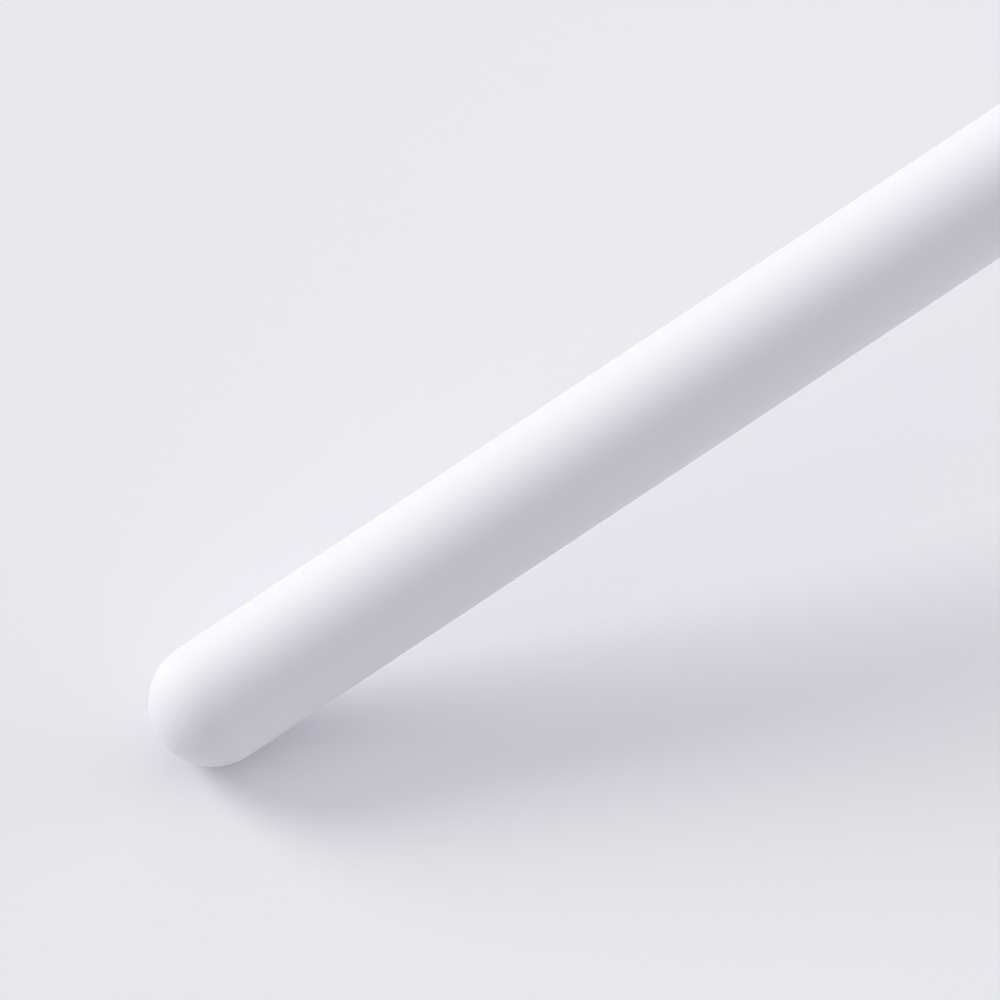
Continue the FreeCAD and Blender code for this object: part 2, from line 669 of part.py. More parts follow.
def make_films():
    """The touch and antenna films on the inside of the barrel, and the two flat cables."""
    for label, start, length in (("touch_film", "touch_x", "touch_length"),
                                 ("antenna_film", "antenna_x", "antenna_length")):
        body = new_body(label)
        section = outline(body, label + "_section", "YZ_Plane", [
            ("film_outer_half", "film_edge", "left", "film_outer"),
            ("-film_outer_half", "film_edge"),
            ("-film_inner_half", "film_edge", "right", "film_inner"),
            ("film_inner_half", "film_edge"),
        ], start)
        pad(body, section, length)
    node(centred_block("sensor_cable", "board_front_x - connector_setback", "board_top",
                       "disc_x - contact_gap - board_front_x + connector_setback",
                       "cable_width", "film_thickness"))
    node(centred_block("battery_cable", "battery_board_front_x", "board_top",
                       "board_x + connector_setback - battery_board_front_x",
                       "cable_width", "film_thickness"))


def make_battery():
    """The cell in its sleeve, its board and tabs, and the cushion between it and the dome."""
    turned("tail_cushion", [
        ("dome_x - cushion_radius", "0", "right", "cushion_radius"),
        ("dome_x", "cushion_radius"),
        ("cushion_front_x", "cushion_radius"),
        ("cushion_front_x", "cushion_hole / 2"),
        ("cushion_front_x - cushion_recess", "cushion_hole / 2"),
        ("cushion_front_x - cushion_recess", "0"),
    ])
    turned("battery_cell", [
        ("cell_x", "0"),
        ("cell_x", "cell_radius - cell_edge"),
        ("cell_x + cell_edge", "cell_radius"),
        ("cell_end_x - cell_edge", "cell_radius"),
        ("cell_end_x", "cell_radius - cell_edge"),
        ("cell_end_x", "terminal_diameter / 2"),
        ("cell_end_x + terminal_height", "terminal_diameter / 2"),
        ("cell_end_x + terminal_height", "0"),
    ])
    turned("battery_sleeve", box_outline(
        "cell_x + cell_edge", "sleeve_bore", "cell_end_x - cell_edge", "sleeve_radius"))
    turned("battery_board", box_outline(
        "battery_board_x", "0", "battery_board_front_x", "sleeve_radius"))
    tabs = [
        block("left_tab", ("cell_end_x", "tab_spread", "-tab_thickness / 2"),
              ("tab_length", "tab_width", "tab_thickness")),
        block("right_tab", ("cell_end_x", "-tab_spread - tab_width", "-tab_thickness / 2"),
              ("tab_length", "tab_width", "tab_thickness")),
    ]
    group("battery_tabs", tabs)


def check_document():
    """Stop on a failed object, a bad sub-part or a cut that removes nothing."""
    for thing in doc.Objects:
        if "Invalid" in thing.State or "Error" in thing.State:
            raise RuntimeError(f"{thing.Label} failed: {thing.State}")
        if thing.TypeId == "PartDesign::Pocket":
            before = thing.BaseFeature.Shape.Volume
            if thing.Shape.Volume > before - 1e-3:
                raise RuntimeError(f"{thing.Label} cuts nothing")
    for label, piece in NODES.items():
        if piece.Shape.isNull() or not piece.Shape.isValid() or not piece.Shape.Solids:
            raise RuntimeError(f"{label} has no sound solid")


make_casing()
make_nose_fittings()
make_nib()
make_pressure_sensor()
make_chassis()
make_main_board()
make_board_parts()
make_channel_parts()
make_films()
make_battery()
doc.recompute()
check_document()

os.makedirs("parts", exist_ok=True)
for label, piece in NODES.items():
    piece.Shape.exportStep(f"parts/{label}.step")
print(len(NODES), "sub-parts written")
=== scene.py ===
"""Looks of a slim drawing stylus: its white casing, its nib and everything inside them.

Lengths are in metres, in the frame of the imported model. The pen lies along X with its domed
tail at -X and its nib at +X, and it rests on the flat of its barrel, which is at z = 0.
"""

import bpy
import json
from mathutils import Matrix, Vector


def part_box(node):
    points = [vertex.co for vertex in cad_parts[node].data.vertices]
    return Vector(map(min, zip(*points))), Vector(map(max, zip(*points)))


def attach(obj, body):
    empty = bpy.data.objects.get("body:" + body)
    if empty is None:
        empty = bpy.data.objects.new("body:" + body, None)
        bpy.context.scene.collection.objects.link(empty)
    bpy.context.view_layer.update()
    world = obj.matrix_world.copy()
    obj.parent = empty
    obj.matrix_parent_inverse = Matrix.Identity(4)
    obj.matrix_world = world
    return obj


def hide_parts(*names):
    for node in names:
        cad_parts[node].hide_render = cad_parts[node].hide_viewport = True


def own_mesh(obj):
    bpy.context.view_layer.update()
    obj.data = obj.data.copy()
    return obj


bl_info = {
    "name": "Drawing Stylus",
    "version": (1, 0, 0),
    "blender": (4, 5, 0),
    "location": "View3D > Sidebar > Stylus",
    "description": "Builds the casing, nib, sensor, battery and board of a drawing stylus",
    "category": "Add Mesh",
}

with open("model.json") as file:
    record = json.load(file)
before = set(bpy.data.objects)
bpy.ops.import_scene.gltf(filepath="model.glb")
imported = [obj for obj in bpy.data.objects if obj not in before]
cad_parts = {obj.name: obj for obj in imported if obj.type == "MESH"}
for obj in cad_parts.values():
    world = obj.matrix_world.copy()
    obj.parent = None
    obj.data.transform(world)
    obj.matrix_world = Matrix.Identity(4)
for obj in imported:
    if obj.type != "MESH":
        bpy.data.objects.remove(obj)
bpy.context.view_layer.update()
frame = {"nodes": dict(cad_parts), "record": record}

import json
import math

import bmesh
import bpy
from bpy.props import FloatProperty, FloatVectorProperty, IntProperty, PointerProperty
from mathutils import Matrix, Vector

MM = 0.001
SAME_POINT = 0.0001 * MM

# Decimals, in metres, by which solids are put in order and a screw head's width is read.
ORDER_DIGITS = 5
SIZE_DIGITS = 6
SHARP_EDGE = math.radians(40)

X, Y, Z = range(3)


# ---------------------------------------------------------------------------------------------
# Settings that a user would change.
# ---------------------------------------------------------------------------------------------

def length(name, millimetres, description):
    """A length in millimetres as a property in metres."""
    return FloatProperty(name=name, description=description, default=millimetres * MM,
                         min=0.0, precision=5, subtype="DISTANCE", unit="LENGTH")


def angle(name, degrees, description):
    """An angle in degrees as a property."""
    return FloatProperty(name=name, description=description, default=math.radians(degrees),
                         subtype="ANGLE", unit="ROTATION")


def colour(name, value, description):
    """A colour, in linear light, as a property."""
    return FloatVectorProperty(name=name, description=description, default=value, size=3,
                               min=0.0, max=1.0, subtype="COLOR")


def share(name, value, description):
    """A number from 0 to 1 as a property."""
    return FloatProperty(name=name, description=description, default=value, min=0.0, max=1.0,
                         subtype="FACTOR")


def amount(name, value, description):
    """A plain number as a property."""
    return FloatProperty(name=name, description=description, default=value)


def count(name, value, description):
    """A whole number as a property."""
    return IntProperty(name=name, description=description, default=value, min=1)


class StylusCasing(bpy.types.PropertyGroup):
    """The barrel and the nose that is bonded into it."""

    wall: length("Wall", 0.75, "Wall of the barrel and its dome")
    edge: length("Edge Round", 0.035, "Round on the edges at the seam and the lip")
    flat_blend: length("Flat Blend", 0.03, "Softness of the line where the flat meets the round")
    spigot_wall: length("Spigot Wall", 0.55, "Wall of the part of the nose inside the barrel")
    spigot_gap: length("Spigot Gap", 0.04, "Glue line round that part")
    bore_gap: length("Bore Gap", 0.2, "Hole in the nose round the stud's shaft")
    lip_step: length("Lip Step", 0.05, "How far the lip stands outside the nib's base")
    segments: count("Segments", 256, "Faces round the casing")
    white: colour("White", (0.8595, 0.851, 0.904), "Colour of the moulded casing")
    roughness: share("Roughness", 0.58, "Satin of the casing")
    speck_share: share("Dust", 0.035, "Share of the places that hold a speck of dust")


class StylusNib(bpy.types.PropertyGroup):
    """The nib and what it screws on to."""

    tip_radius: length("Tip Radius", 0.6, "Ball at the writing end")
    edge: length("Edge Round", 0.06, "Round on the edges of the nib and the stud")
    shaft: length("Shaft", 2.2, "Diameter of the stud's sliding shaft")
    pin: length("Pin", 1.5, "Diameter of the stud's tail inside the spring")
    thread: length("Thread", 1.96, "Diameter over the stud's thread")
    thread_lead: length("Thread Lead", 0.4, "Advance of the thread in one turn")
    thread_depth: length("Thread Depth", 0.18, "Crest of the thread above its root")
    insert_wall: length("Insert Wall", 0.5, "Wall of the threaded insert")
    knurl_ribs: count("Knurl Ribs", 36, "Ribs round the threaded insert")
    knurl_depth: length("Knurl Depth", 0.06, "Height of those ribs")
    recess: length("Recess", 0.5, "Clear depth in the nib beyond the insert")
    play: length("Play", 0.02, "Between pieces that rest on each other")
    running_gap: length("Running Gap", 0.03, "Round the sliding shaft")
    white: colour("White", (0.838, 0.828, 0.860), "Colour of the nib")


class StylusSensor(bpy.types.PropertyGroup):
    """The pressure sensor behind the nose."""

    edge: length("Edge Round", 0.05, "Round on the edges of the turned pieces")
    electrode_wall: length("Electrode Wall", 0.4, "Wall of the tilt electrode")
    tube_wall: length("Tube Wall", 0.45, "Wall of the sensor's tube")
    rim: length("Rim", 0.4, "Rim at the front of that tube")
    collar: length("Collar", 0.8, "Thickness of the stud's collar")
    disc: length("Disc", 0.8, "Thickness of the force sensor's disc")
    boss: length("Boss", 3.5, "Diameter of the spring's seat on it")
    retainer_hole: length("Retainer Hole", 2.6, "Hole in the retaining ring")
    spring_wire: length("Spring Wire", 0.32, "Wire of the return spring")
    spring_turns: amount("Spring Turns", 4.75, "Turns of the return spring")
    spring_closing: share("Closed Ends", 0.2, "How much closer its end turns lie")
    spring_travel: length("Spring Travel", 0.3, "How far the nib's stud presses the spring")


class StylusBattery(bpy.types.PropertyGroup):
    """The cell, its sleeve and the cushion behind it."""

    edge: length("Edge Round", 0.15, "Round on the edges of the cell")
    rim: length("Rim", 0.35, "Width of the rolled rim at the cell's front")
    sleeve_wall: length("Sleeve Wall", 0.1, "Thickness of the shrunk sleeve")
    groove_setback: length("Groove Setback", 2.2, "Crimp groove behind the cell's front")
    groove_width: length("Groove Width", 0.9, "Width of the crimp groove")
    groove_depth: length("Groove Depth", 0.35, "Depth of the crimp groove")
    cushion_hole: length("Cushion Hole", 3.2, "Diameter of the hollow in the cushion")
    cushion_recess: length("Cushion Recess", 1.2, "Depth of that hollow")
    terminal: length("Terminal", 1.8, "Diameter of the cell's front terminal")
    terminal_height: length("Terminal Height", 0.3, "Height of that terminal")


class StylusBoard(bpy.types.PropertyGroup):
    """The board, its components, the charging coil and the magnets."""

    edge: length("Edge Round", 0.06, "Round on the edges of the components")
    leg_pitch: length("Leg Pitch", 0.4, "From one chip leg to the next")
    leg_width: length("Leg Width", 0.18, "Width of a chip leg")
    leg_reach: length("Leg Reach", 0.3, "How far the legs stand out from the resin")
    leg_thickness: length("Leg Thickness", 0.1, "Thickness of a chip leg")
    leg_lift: length("Leg Lift", 0.3, "Height at which a leg leaves the resin")
    shield_wall: length("Shield Wall", 0.12, "Sheet of the radio shield")
    screw_shank: length("Screw Shank", 1.0, "Diameter of a screw below its head")
    end_cap: share("End Cap", 0.24, "Share of a capacitor's length that each metal end takes")
    slot_width: length("Slot Width", 0.28, "Width of the cross slot in a screw's head")
    slot_depth: length("Slot Depth", 0.3, "Depth of that slot")
    screw_pitch: length("Screw Pitch", 0.25, "Thread pitch of the screws")
    coil_wire: length("Coil Wire", 0.24, "Wire of the charging coil")
    pad_size: length("Test Pad", 0.5, "Width of a gold test pad")


class StylusStage(bpy.types.PropertyGroup):
    """How the pen leans on the floor, how the camera sees it and how it is lit."""

    lean: angle("Lean", 18.0, "How far the nib's end is lifted off the floor")
    heading: angle("Heading", 28.8, "Turn of the pen on the floor")
    camera_height: angle("Camera Height", 55.0, "Elevation of the camera above the floor")
    camera_distance: length("Camera Distance", 371.0, "From the camera to the tail")
    lens: amount("Lens", 193.3, "Focal length of the camera in millimetres")
    tail_right: amount("Tail Right", -0.287, "Tail's place across the picture, from its middle")
    tail_up: amount("Tail Up", -0.2024, "Tail's place up the picture, from its middle")
    floor_colour: colour("Floor", (0.868, 0.865, 0.903), "Colour of the floor")
    key_bearing: angle("Key Bearing", 153.0, "Bearing of the key light, from the picture's right")
    key_height: angle("Key Height", 28.5, "Elevation of the key light")
    key_spread: angle("Key Spread", 30.0, "Width of the key light in the sky")
    key_power: amount("Key Power", 1.76, "Strength of the key light")
    key_colour: colour("Key Colour", (1.0, 1.0, 0.955), "Colour of the key light")
    tail_bearing: angle("Tail Light Bearing", 205.0, "Bearing of the weak light on the tail")
    tail_height: angle("Tail Light Height", 8.0, "Elevation of that weak light")
    tail_spread: angle("Tail Light Spread", 60.0, "Width of that weak light")
    tail_power: amount("Tail Light Power", 0.49, "Strength of that weak light")
    card_bearing: angle("Card Bearing", 15.0, "Bearing of the low light that a white card throws back")
    card_height: angle("Card Height", 6.0, "Elevation of that low light")
    card_spread: angle("Card Spread", 40.0, "Width of that low light")
    card_power: amount("Card Power", 1.0, "Strength of that low light")
    fill_bearing: angle("Fill Bearing", 45.0, "Bearing of the broad soft light opposite")
    fill_height: angle("Fill Height", 66.0, "Elevation of that soft light")
    fill_level: amount("Fill Level", 0.79, "Brightness at the middle of that soft light")
    sky_level: amount("Sky Level", 0.24, "Brightness of the soft light from all round")
    sky_colour: colour("Sky", (0.985, 0.975, 1.0), "Colour of the soft lights")
    backdrop: colour("Backdrop", (0.810, 0.800, 0.8395), "Colour beyond the floor's edge")


# ---------------------------------------------------------------------------------------------
# Node trees.
# ---------------------------------------------------------------------------------------------

class Wiring:
    """Adds nodes to a tree and joins them."""

    STEP = 190

    def __init__(self, tree):
        self.tree = tree

    def add(self, kind, inputs=None, **settings):
        """A new node with these settings, whose inputs take numbers or other nodes' outputs."""
        node = self.tree.nodes.new(kind)
        node.location = (self.STEP * len(self.tree.nodes), 0)
        for name, value in settings.items():
            setattr(node, name, value)
        for name, value in (inputs or {}).items():
            self.feed(node.inputs[name], value)
        return node

    def feed(self, socket, value):
        """Joins an output to this input, or sets its plain value."""
        if isinstance(value, bpy.types.NodeSocket):
            self.tree.links.new(value, socket)
        else:
            socket.default_value = value

    def maths(self, operation, *values):
        """The result of a sum, product or other operation on up to three values."""
        return self.add("ShaderNodeMath", dict(enumerate(values)), operation=operation).outputs[0]

    def combined(self, x, y, z):
        """A vector from its three parts."""
        return self.add("ShaderNodeCombineXYZ", {0: x, 1: y, 2: z}).outputs[0]


def new_tree(name, kind, inputs, outputs):
    """A node group with these sockets, its wiring, its inputs by name and its output node."""
    tree = bpy.data.node_groups.new(name, kind)
    for label, socket_type, default in inputs:
        socket = tree.interface.new_socket(label, in_out="INPUT", socket_type=socket_type)
        if default is not None:
            socket.default_value = default
    for label, socket_type in outputs:
        tree.interface.new_socket(label, in_out="OUTPUT", socket_type=socket_type)
    wires = Wiring(tree)
    entry = wires.add("NodeGroupInput").outputs
    exit_node = wires.add("NodeGroupOutput")
    return tree, wires, entry, exit_node


GEOMETRY, FLOAT, INTEGER = "NodeSocketGeometry", "NodeSocketFloat", "NodeSocketInt"
COLOUR, MATERIAL, OBJECT = "NodeSocketColor", "NodeSocketMaterial", "NodeSocketObject"
VECTOR = "NodeSocketVector"


def finish_tree(wires, exit_node, geometry, material):
    """Ends a geometry tree with real faces and their material."""
    real = wires.add("GeometryNodeRealizeInstances", {"Geometry": geometry}).outputs[0]
    coated = wires.add("GeometryNodeSetMaterial", {"Geometry": real, "Material": material})
    wires.feed(exit_node.inputs[0], coated.outputs[0])


def lathe_tree():
    """Turns an outline, whose points are (distance along, radius), round the pen's axis."""
    tree, wires, entry, leave = new_tree("Lathe", "GeometryNodeTree", [
        ("Outline", GEOMETRY, None),
        ("Segments", INTEGER, 64),
        ("Axis Height", FLOAT, 0.0),
        ("Flat Height", FLOAT, -1.0),
        ("Flat Blend", FLOAT, 0.0),
        ("Material", MATERIAL, None),
    ], [("Geometry", GEOMETRY)])
    outline, segments = entry["Outline"], entry["Segments"]
    size = wires.add("GeometryNodeAttributeDomainSize", {"Geometry": outline})
    ring = wires.maths("ADD", segments, 1.0)
    grid = wires.add("GeometryNodeMeshGrid", {
        "Vertices X": size.outputs["Point Count"], "Vertices Y": ring})
    index = wires.add("GeometryNodeInputIndex").outputs[0]
    row = wires.maths("FLOOR", wires.maths("DIVIDE", wires.maths("ADD", index, 0.5), ring))
    step = wires.maths("SUBTRACT", index, wires.maths("MULTIPLY", row, ring))
    sample = wires.add("GeometryNodeSampleIndex", data_type="FLOAT_VECTOR", domain="POINT")
    wires.feed(sample.inputs["Geometry"], outline)
    wires.feed(sample.inputs["Value"], wires.add("GeometryNodeInputPosition").outputs[0])
    wires.feed(sample.inputs["Index"], row)
    place = wires.add("ShaderNodeSeparateXYZ", {0: sample.outputs[0]}).outputs
    closed = wires.maths("MODULO", step, segments)
    turn = wires.maths("DIVIDE", wires.maths("MULTIPLY", closed, math.tau), segments)
    side = wires.maths("MULTIPLY", place[Y], wires.maths("SINE", turn))
    round_height = wires.maths("MULTIPLY_ADD", place[Y], wires.maths("COSINE", turn),
                               entry["Axis Height"])
    height = wires.maths("SMOOTH_MAX", round_height, entry["Flat Height"], entry["Flat Blend"])
    moved = wires.add("GeometryNodeSetPosition", {
        "Geometry": grid.outputs[0], "Position": wires.combined(place[X], side, height)})
    merged = wires.add("GeometryNodeMergeByDistance", {
        "Geometry": moved.outputs[0], "Distance": SAME_POINT})
    finish_tree(wires, leave, merged.outputs[0], entry["Material"])
    return tree


def winding_tree():
    """A wire wound round the pen's direction: a spring, a coil or the ridge of a thread."""
    tree, wires, entry, leave = new_tree("Winding", "GeometryNodeTree", [
        ("Start", VECTOR, None),
        ("Length", FLOAT, 0.01),
        ("Turns", FLOAT, 5.0),
        ("Half Width", FLOAT, 0.001),
        ("Half Height", FLOAT, 0.001),
        ("Squareness", FLOAT, 1.0),
        ("Closed Ends", FLOAT, 0.0),
        ("Wire Radius", FLOAT, 0.0001),
        ("Wire Sides", INTEGER, 8),
        ("Steps per Turn", INTEGER, 32),
        ("Material", MATERIAL, None),
    ], [("Geometry", GEOMETRY)])
    steps = wires.maths("CEIL", wires.maths("MULTIPLY", entry["Turns"], entry["Steps per Turn"]))
    line = wires.add("GeometryNodeMeshLine", {"Count": wires.maths("ADD", steps, 1.0)})
    index = wires.add("GeometryNodeInputIndex").outputs[0]
    done = wires.maths("DIVIDE", index, steps)
    turn = wires.maths("MULTIPLY", wires.maths("MULTIPLY", done, entry["Turns"]), math.tau)
    eased = wires.add("ShaderNodeMapRange", {"Value": done}, interpolation_type="SMOOTHSTEP")
    closing = wires.maths("MULTIPLY", wires.maths("SUBTRACT", eased.outputs[0], done),
                          entry["Closed Ends"])
    along = wires.maths("MULTIPLY", wires.maths("ADD", done, closing), entry["Length"])

    def reach(wave, half):
        """A round winding's reach to one side, or a squarer one's as Squareness falls."""
        swing = wires.maths(wave, turn)
        shaped = wires.maths("POWER", wires.maths("ABSOLUTE", swing), entry["Squareness"])
        signed = wires.maths("MULTIPLY", shaped, wires.maths("SIGN", swing))
        return wires.maths("MULTIPLY", signed, half)

    path = wires.combined(along, reach("SINE", entry["Half Width"]),
                          reach("COSINE", entry["Half Height"]))
    place = wires.add("ShaderNodeVectorMath", {0: entry["Start"], 1: path}, operation="ADD")
    laid = wires.add("GeometryNodeSetPosition", {"Geometry": line.outputs[0],
                                                 "Position": place.outputs[0]})
    curve = wires.add("GeometryNodeMeshToCurve", {"Mesh": laid.outputs[0]})
    section = wires.add("GeometryNodeCurvePrimitiveCircle", {
        "Resolution": entry["Wire Sides"], "Radius": entry["Wire Radius"]})
    wire = wires.add("GeometryNodeCurveToMesh", {
        "Curve": curve.outputs[0], "Profile Curve": section.outputs[0], "Fill Caps": True})
    finish_tree(wires, leave, wire.outputs[0], entry["Material"])
    return tree


def copies_tree():
    """Sets a copy of one pattern piece on each point, turned by the point's own angle."""
    tree, wires, entry, leave = new_tree("Copies", "GeometryNodeTree", [
        ("Points", GEOMETRY, None),
        ("Pattern", OBJECT, None),
        ("Material", MATERIAL, None),
    ], [("Geometry", GEOMETRY)])
    pattern = wires.add("GeometryNodeObjectInfo", {"Object": entry["Pattern"]},
                        transform_space="ORIGINAL")
    turn = wires.add("GeometryNodeInputNamedAttribute", {"Name": "turn"}, data_type="FLOAT_VECTOR")
    turned = wires.add("FunctionNodeEulerToRotation", {0: turn.outputs[0]})
    placed = wires.add("GeometryNodeInstanceOnPoints", {
        "Points": entry["Points"], "Instance": pattern.outputs["Geometry"],
        "Rotation": turned.outputs[0]})
    finish_tree(wires, leave, placed.outputs[0], entry["Material"])
    return tree


def slotted_tree():
    """Cuts a cross slot into the top of a screw's head."""
    tree, wires, entry, leave = new_tree("Cross Slot", "GeometryNodeTree", [
        ("Screw", GEOMETRY, None),
        ("Top", VECTOR, None),
        ("Slot Width", FLOAT, 0.0003),
        ("Slot Length", FLOAT, 0.001),
        ("Slot Depth", FLOAT, 0.0003),
        ("Material", MATERIAL, None),
    ], [("Geometry", GEOMETRY)])
    depth = wires.maths("MULTIPLY", entry["Slot Depth"], 2.0)
    width, length_across = entry["Slot Width"], entry["Slot Length"]
    cutters = []
    for size in ((length_across, width), (width, length_across)):
        cutter = wires.add("GeometryNodeMeshCube", {"Size": wires.combined(*size, depth)})
        cutters.append(wires.add("GeometryNodeTransform", {
            "Geometry": cutter.outputs[0], "Translation": entry["Top"]}).outputs[0])
    cut = wires.add("GeometryNodeMeshBoolean", operation="DIFFERENCE", solver="EXACT")
    wires.feed(cut.inputs["Mesh 1"], entry["Screw"])
    for cutter in cutters:
        wires.tree.links.new(cutter, cut.inputs["Mesh 2"])
    finish_tree(wires, leave, cut.outputs[0], entry["Material"])
    return tree


MADE = {}


def made_once(maker):
    """A node tree or a material, built the first time that it is asked for."""
    if maker not in MADE:
        MADE[maker] = maker()
    return MADE[maker]


# ---------------------------------------------------------------------------------------------
# Meshes.
# ---------------------------------------------------------------------------------------------

def show(name, mesh):
    """An object with this mesh in the scene."""
    piece = bpy.data.objects.new(name, mesh)
    bpy.context.scene.collection.objects.link(piece)
    return piece


def add_piece(name, mesh, body, slot, *nodes):
    """A piece that moves with a body, takes a material slot's finish and stands for CAD nodes."""
    mesh.materials.clear()
    mesh.materials.append(in_slot(slot))
    piece = show(name, mesh)
    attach(piece, body)
    if nodes:
        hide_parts(*nodes)
    return piece


def mesh_of(work, name):
    """The plain mesh of a finished bmesh, which is freed."""
    mesh = bpy.data.meshes.new(name)
    work.to_mesh(mesh)
    work.free()
    return mesh


def with_modifiers(piece):
    """The plain mesh that an object's modifiers make."""
    graph = bpy.context.evaluated_depsgraph_get()
    return bpy.data.meshes.new_from_object(piece.evaluated_get(graph), depsgraph=graph)


def tidy_mesh(mesh, recalculate=True):
    """Merges doubles, points the faces outwards and shades them smooth up to a sharp edge."""
    work = bmesh.new()
    work.from_mesh(mesh)
    bmesh.ops.remove_doubles(work, verts=work.verts, dist=SAME_POINT)
    if recalculate:
        bmesh.ops.recalc_face_normals(work, faces=work.faces)
    work.to_mesh(mesh)
    work.free()
    mesh.shade_smooth()
    mesh.set_sharp_from_angle(angle=SHARP_EDGE)
    return mesh


def grown(name, maker, base, slot, **inputs):
    """The plain mesh that a tree makes from a base mesh with these inputs."""
    tree = made_once(maker)
    workpiece = show(name + "_work", base)
    modifier = workpiece.modifiers.new("Growth", "NODES")
    modifier.node_group = tree
    values = {key.replace("_", " "): value for key, value in inputs.items()}
    values["Material"] = in_slot(slot)
    for item in tree.interface.items_tree:
        if item.in_out == "INPUT" and item.socket_type != GEOMETRY and item.name in values:
            modifier[item.identifier] = values.pop(item.name)
    if values:
        raise ValueError(f"{tree.name} has no inputs named {sorted(values)}")
    mesh = with_modifiers(workpiece)
    bpy.data.objects.remove(workpiece)
    bpy.data.meshes.remove(base)
    mesh.name = name
    return tidy_mesh(mesh)


def line_mesh(points):
    """A mesh of points joined in a row."""
    mesh = bpy.data.meshes.new("outline")
    edges = [(k, k + 1) for k in range(len(points) - 1)]
    mesh.from_pydata([(*p, 0.0) for p in points], edges, [])
    return mesh


def arc(centre, radius, start, end, steps):
    """Points of an arc from one angle to another, in degrees, with 0 towards +X."""
    angles = [math.radians(start + (end - start) * k / steps) for k in range(steps + 1)]
    return [(centre[0] + radius * math.cos(a), centre[1] + radius * math.sin(a)) for a in angles]


def stations(start, end, parts):
    """The points that divide a straight run of an outline, without its ends."""
    a, b = Vector(start), Vector(end)
    return [tuple(a.lerp(b, k / parts)) for k in range(1, parts)]


# How corners are rounded: from which turn on, how far along a side, and how finely.
SMOOTH_TURN = math.radians(25)
CORNER_SHARE = 0.3
HOLD = 1.5
CORNER_STEPS = 4
EDGE_STEPS = 3


def softened(outline, rounding, closed=False):
    """The outline with its corners rounded, and a point near each round that holds its shading."""
    points = [Vector(p) for p in outline]
    last = len(points) - 1
    made = []
    for k, corner in enumerate(points):
        before = points[k - 1] - corner
        after = points[(k + 1) % len(points)] - corner
        turn = 0.0 if not closed and k in (0, last) else before.angle(-after)
        if turn < SMOOTH_TURN:
            made.append(tuple(corner))
            continue
        slope = math.tan(turn / 2)
        reach = min(rounding * slope, CORNER_SHARE * min(before.length, after.length))
        back, ahead = before.normalized() * reach, after.normalized() * reach
        middle = (back + ahead).normalized() * math.hypot(reach, reach / slope)
        start, sweep = back - middle, (back - middle).angle_signed(ahead - middle)
        made.append(tuple(corner + back * HOLD))
        for step in range(CORNER_STEPS + 1):
            turned = start.copy()
            turned.rotate(Matrix.Rotation(-sweep * step / CORNER_STEPS, 2))
            made.append(tuple(corner + middle + turned))
        made.append(tuple(corner + ahead * HOLD))
    return made + made[:1] if closed else made


def turned(name, outline, body, slot, *nodes, segments=96, **flat):
    """Adds a piece turned round the pen's axis from its outline."""
    inputs = {"Segments": segments, "Axis_Height": AXIS_HEIGHT, **flat}
    add_piece(name, grown(name, lathe_tree, line_mesh(outline), slot, **inputs), body, slot, *nodes)


def turned_ring(name, inside, edge, body, slot, node, slimmer=0.0):
    """Adds the plain ring or tube with rounded edges that stands for a turned CAD node."""
    rear, front, radius = reach_of(node)
    outside = radius - slimmer
    outline = [(rear, inside), (rear, outside), (front, outside), (front, inside)]
    turned(name, softened(outline, edge, closed=True), body, slot, node)


def upright(point):
    """The matrix that stands what was made along the pen up on a point."""
    return Matrix.Translation(point) @ Matrix.Rotation(-math.pi / 2, 4, "Y")


def wound(name, start, extent, turns, half, wire, body, slot, *nodes, stand=None, **inputs):
    """Adds a wound wire, as a spring, a coil or the ridge of a thread, and returns its piece."""
    values = {"Start": start, "Length": extent, "Turns": turns, "Half_Width": half[0],
              "Half_Height": half[1], "Wire_Radius": wire, **inputs}
    mesh = grown(name, winding_tree, bpy.data.meshes.new(name), slot, **values)
    if stand:
        mesh.transform(stand)
    return add_piece(name, mesh, body, slot, *nodes)


def block_mesh(low, high, edge, draft=0.0):
    """A block with rounded edges, whose top is smaller by the draft on each side."""
    work = bmesh.new()
    bmesh.ops.create_cube(work, size=1.0)
    for vert in work.verts:
        place = [low[k] if vert.co[k] < 0 else high[k] for k in range(3)]
        if vert.co.z > 0:
            place[X] += draft if vert.co.x < 0 else -draft
            place[Y] += draft if vert.co.y < 0 else -draft
        vert.co = place
    bmesh.ops.bevel(work, geom=work.edges, offset=edge, segments=EDGE_STEPS, profile=0.5,
                    affect="EDGES", clamp_overlap=True)
    return tidy_mesh(mesh_of(work, "block"))


def blocks(name, boxes, edge, body, slot, *nodes, draft=0.0, inset=0.0):
    """Adds a piece of rounded blocks, each smaller than its box by the inset along the pen."""
    work = bmesh.new()
    shift = Vector((inset, 0.0, 0.0))
    for low, high in boxes:
        part = block_mesh(low + shift, high - shift, edge, draft)
        work.from_mesh(part)
        bpy.data.meshes.remove(part)
    add_piece(name, tidy_mesh(mesh_of(work, name)), body, slot, *nodes)


def bent_strip_mesh(path, width, thickness):
    """A strip of metal that follows a path in XZ, such as a chip's leg."""
    work = bmesh.new()
    rings = []
    for k, point in enumerate(path):
        ahead = Vector(path[min(k + 1, len(path) - 1)]) - Vector(path[max(k - 1, 0)])
        across = Vector((-ahead.y, ahead.x)).normalized() * thickness / 2
        corners = ((across, -1), (across, 1), (-across, 1), (-across, -1))
        rings.append([work.verts.new((point[0] + shift.x, side * width / 2, point[1] + shift.y))
                      for shift, side in corners])
    for first, second in zip(rings, rings[1:]):
        for k in range(4):
            work.faces.new((first[k], first[k - 1], second[k - 1], second[k]))
    work.faces.new(rings[0])
    work.faces.new(rings[-1][::-1])
    return tidy_mesh(mesh_of(work, "strip"))


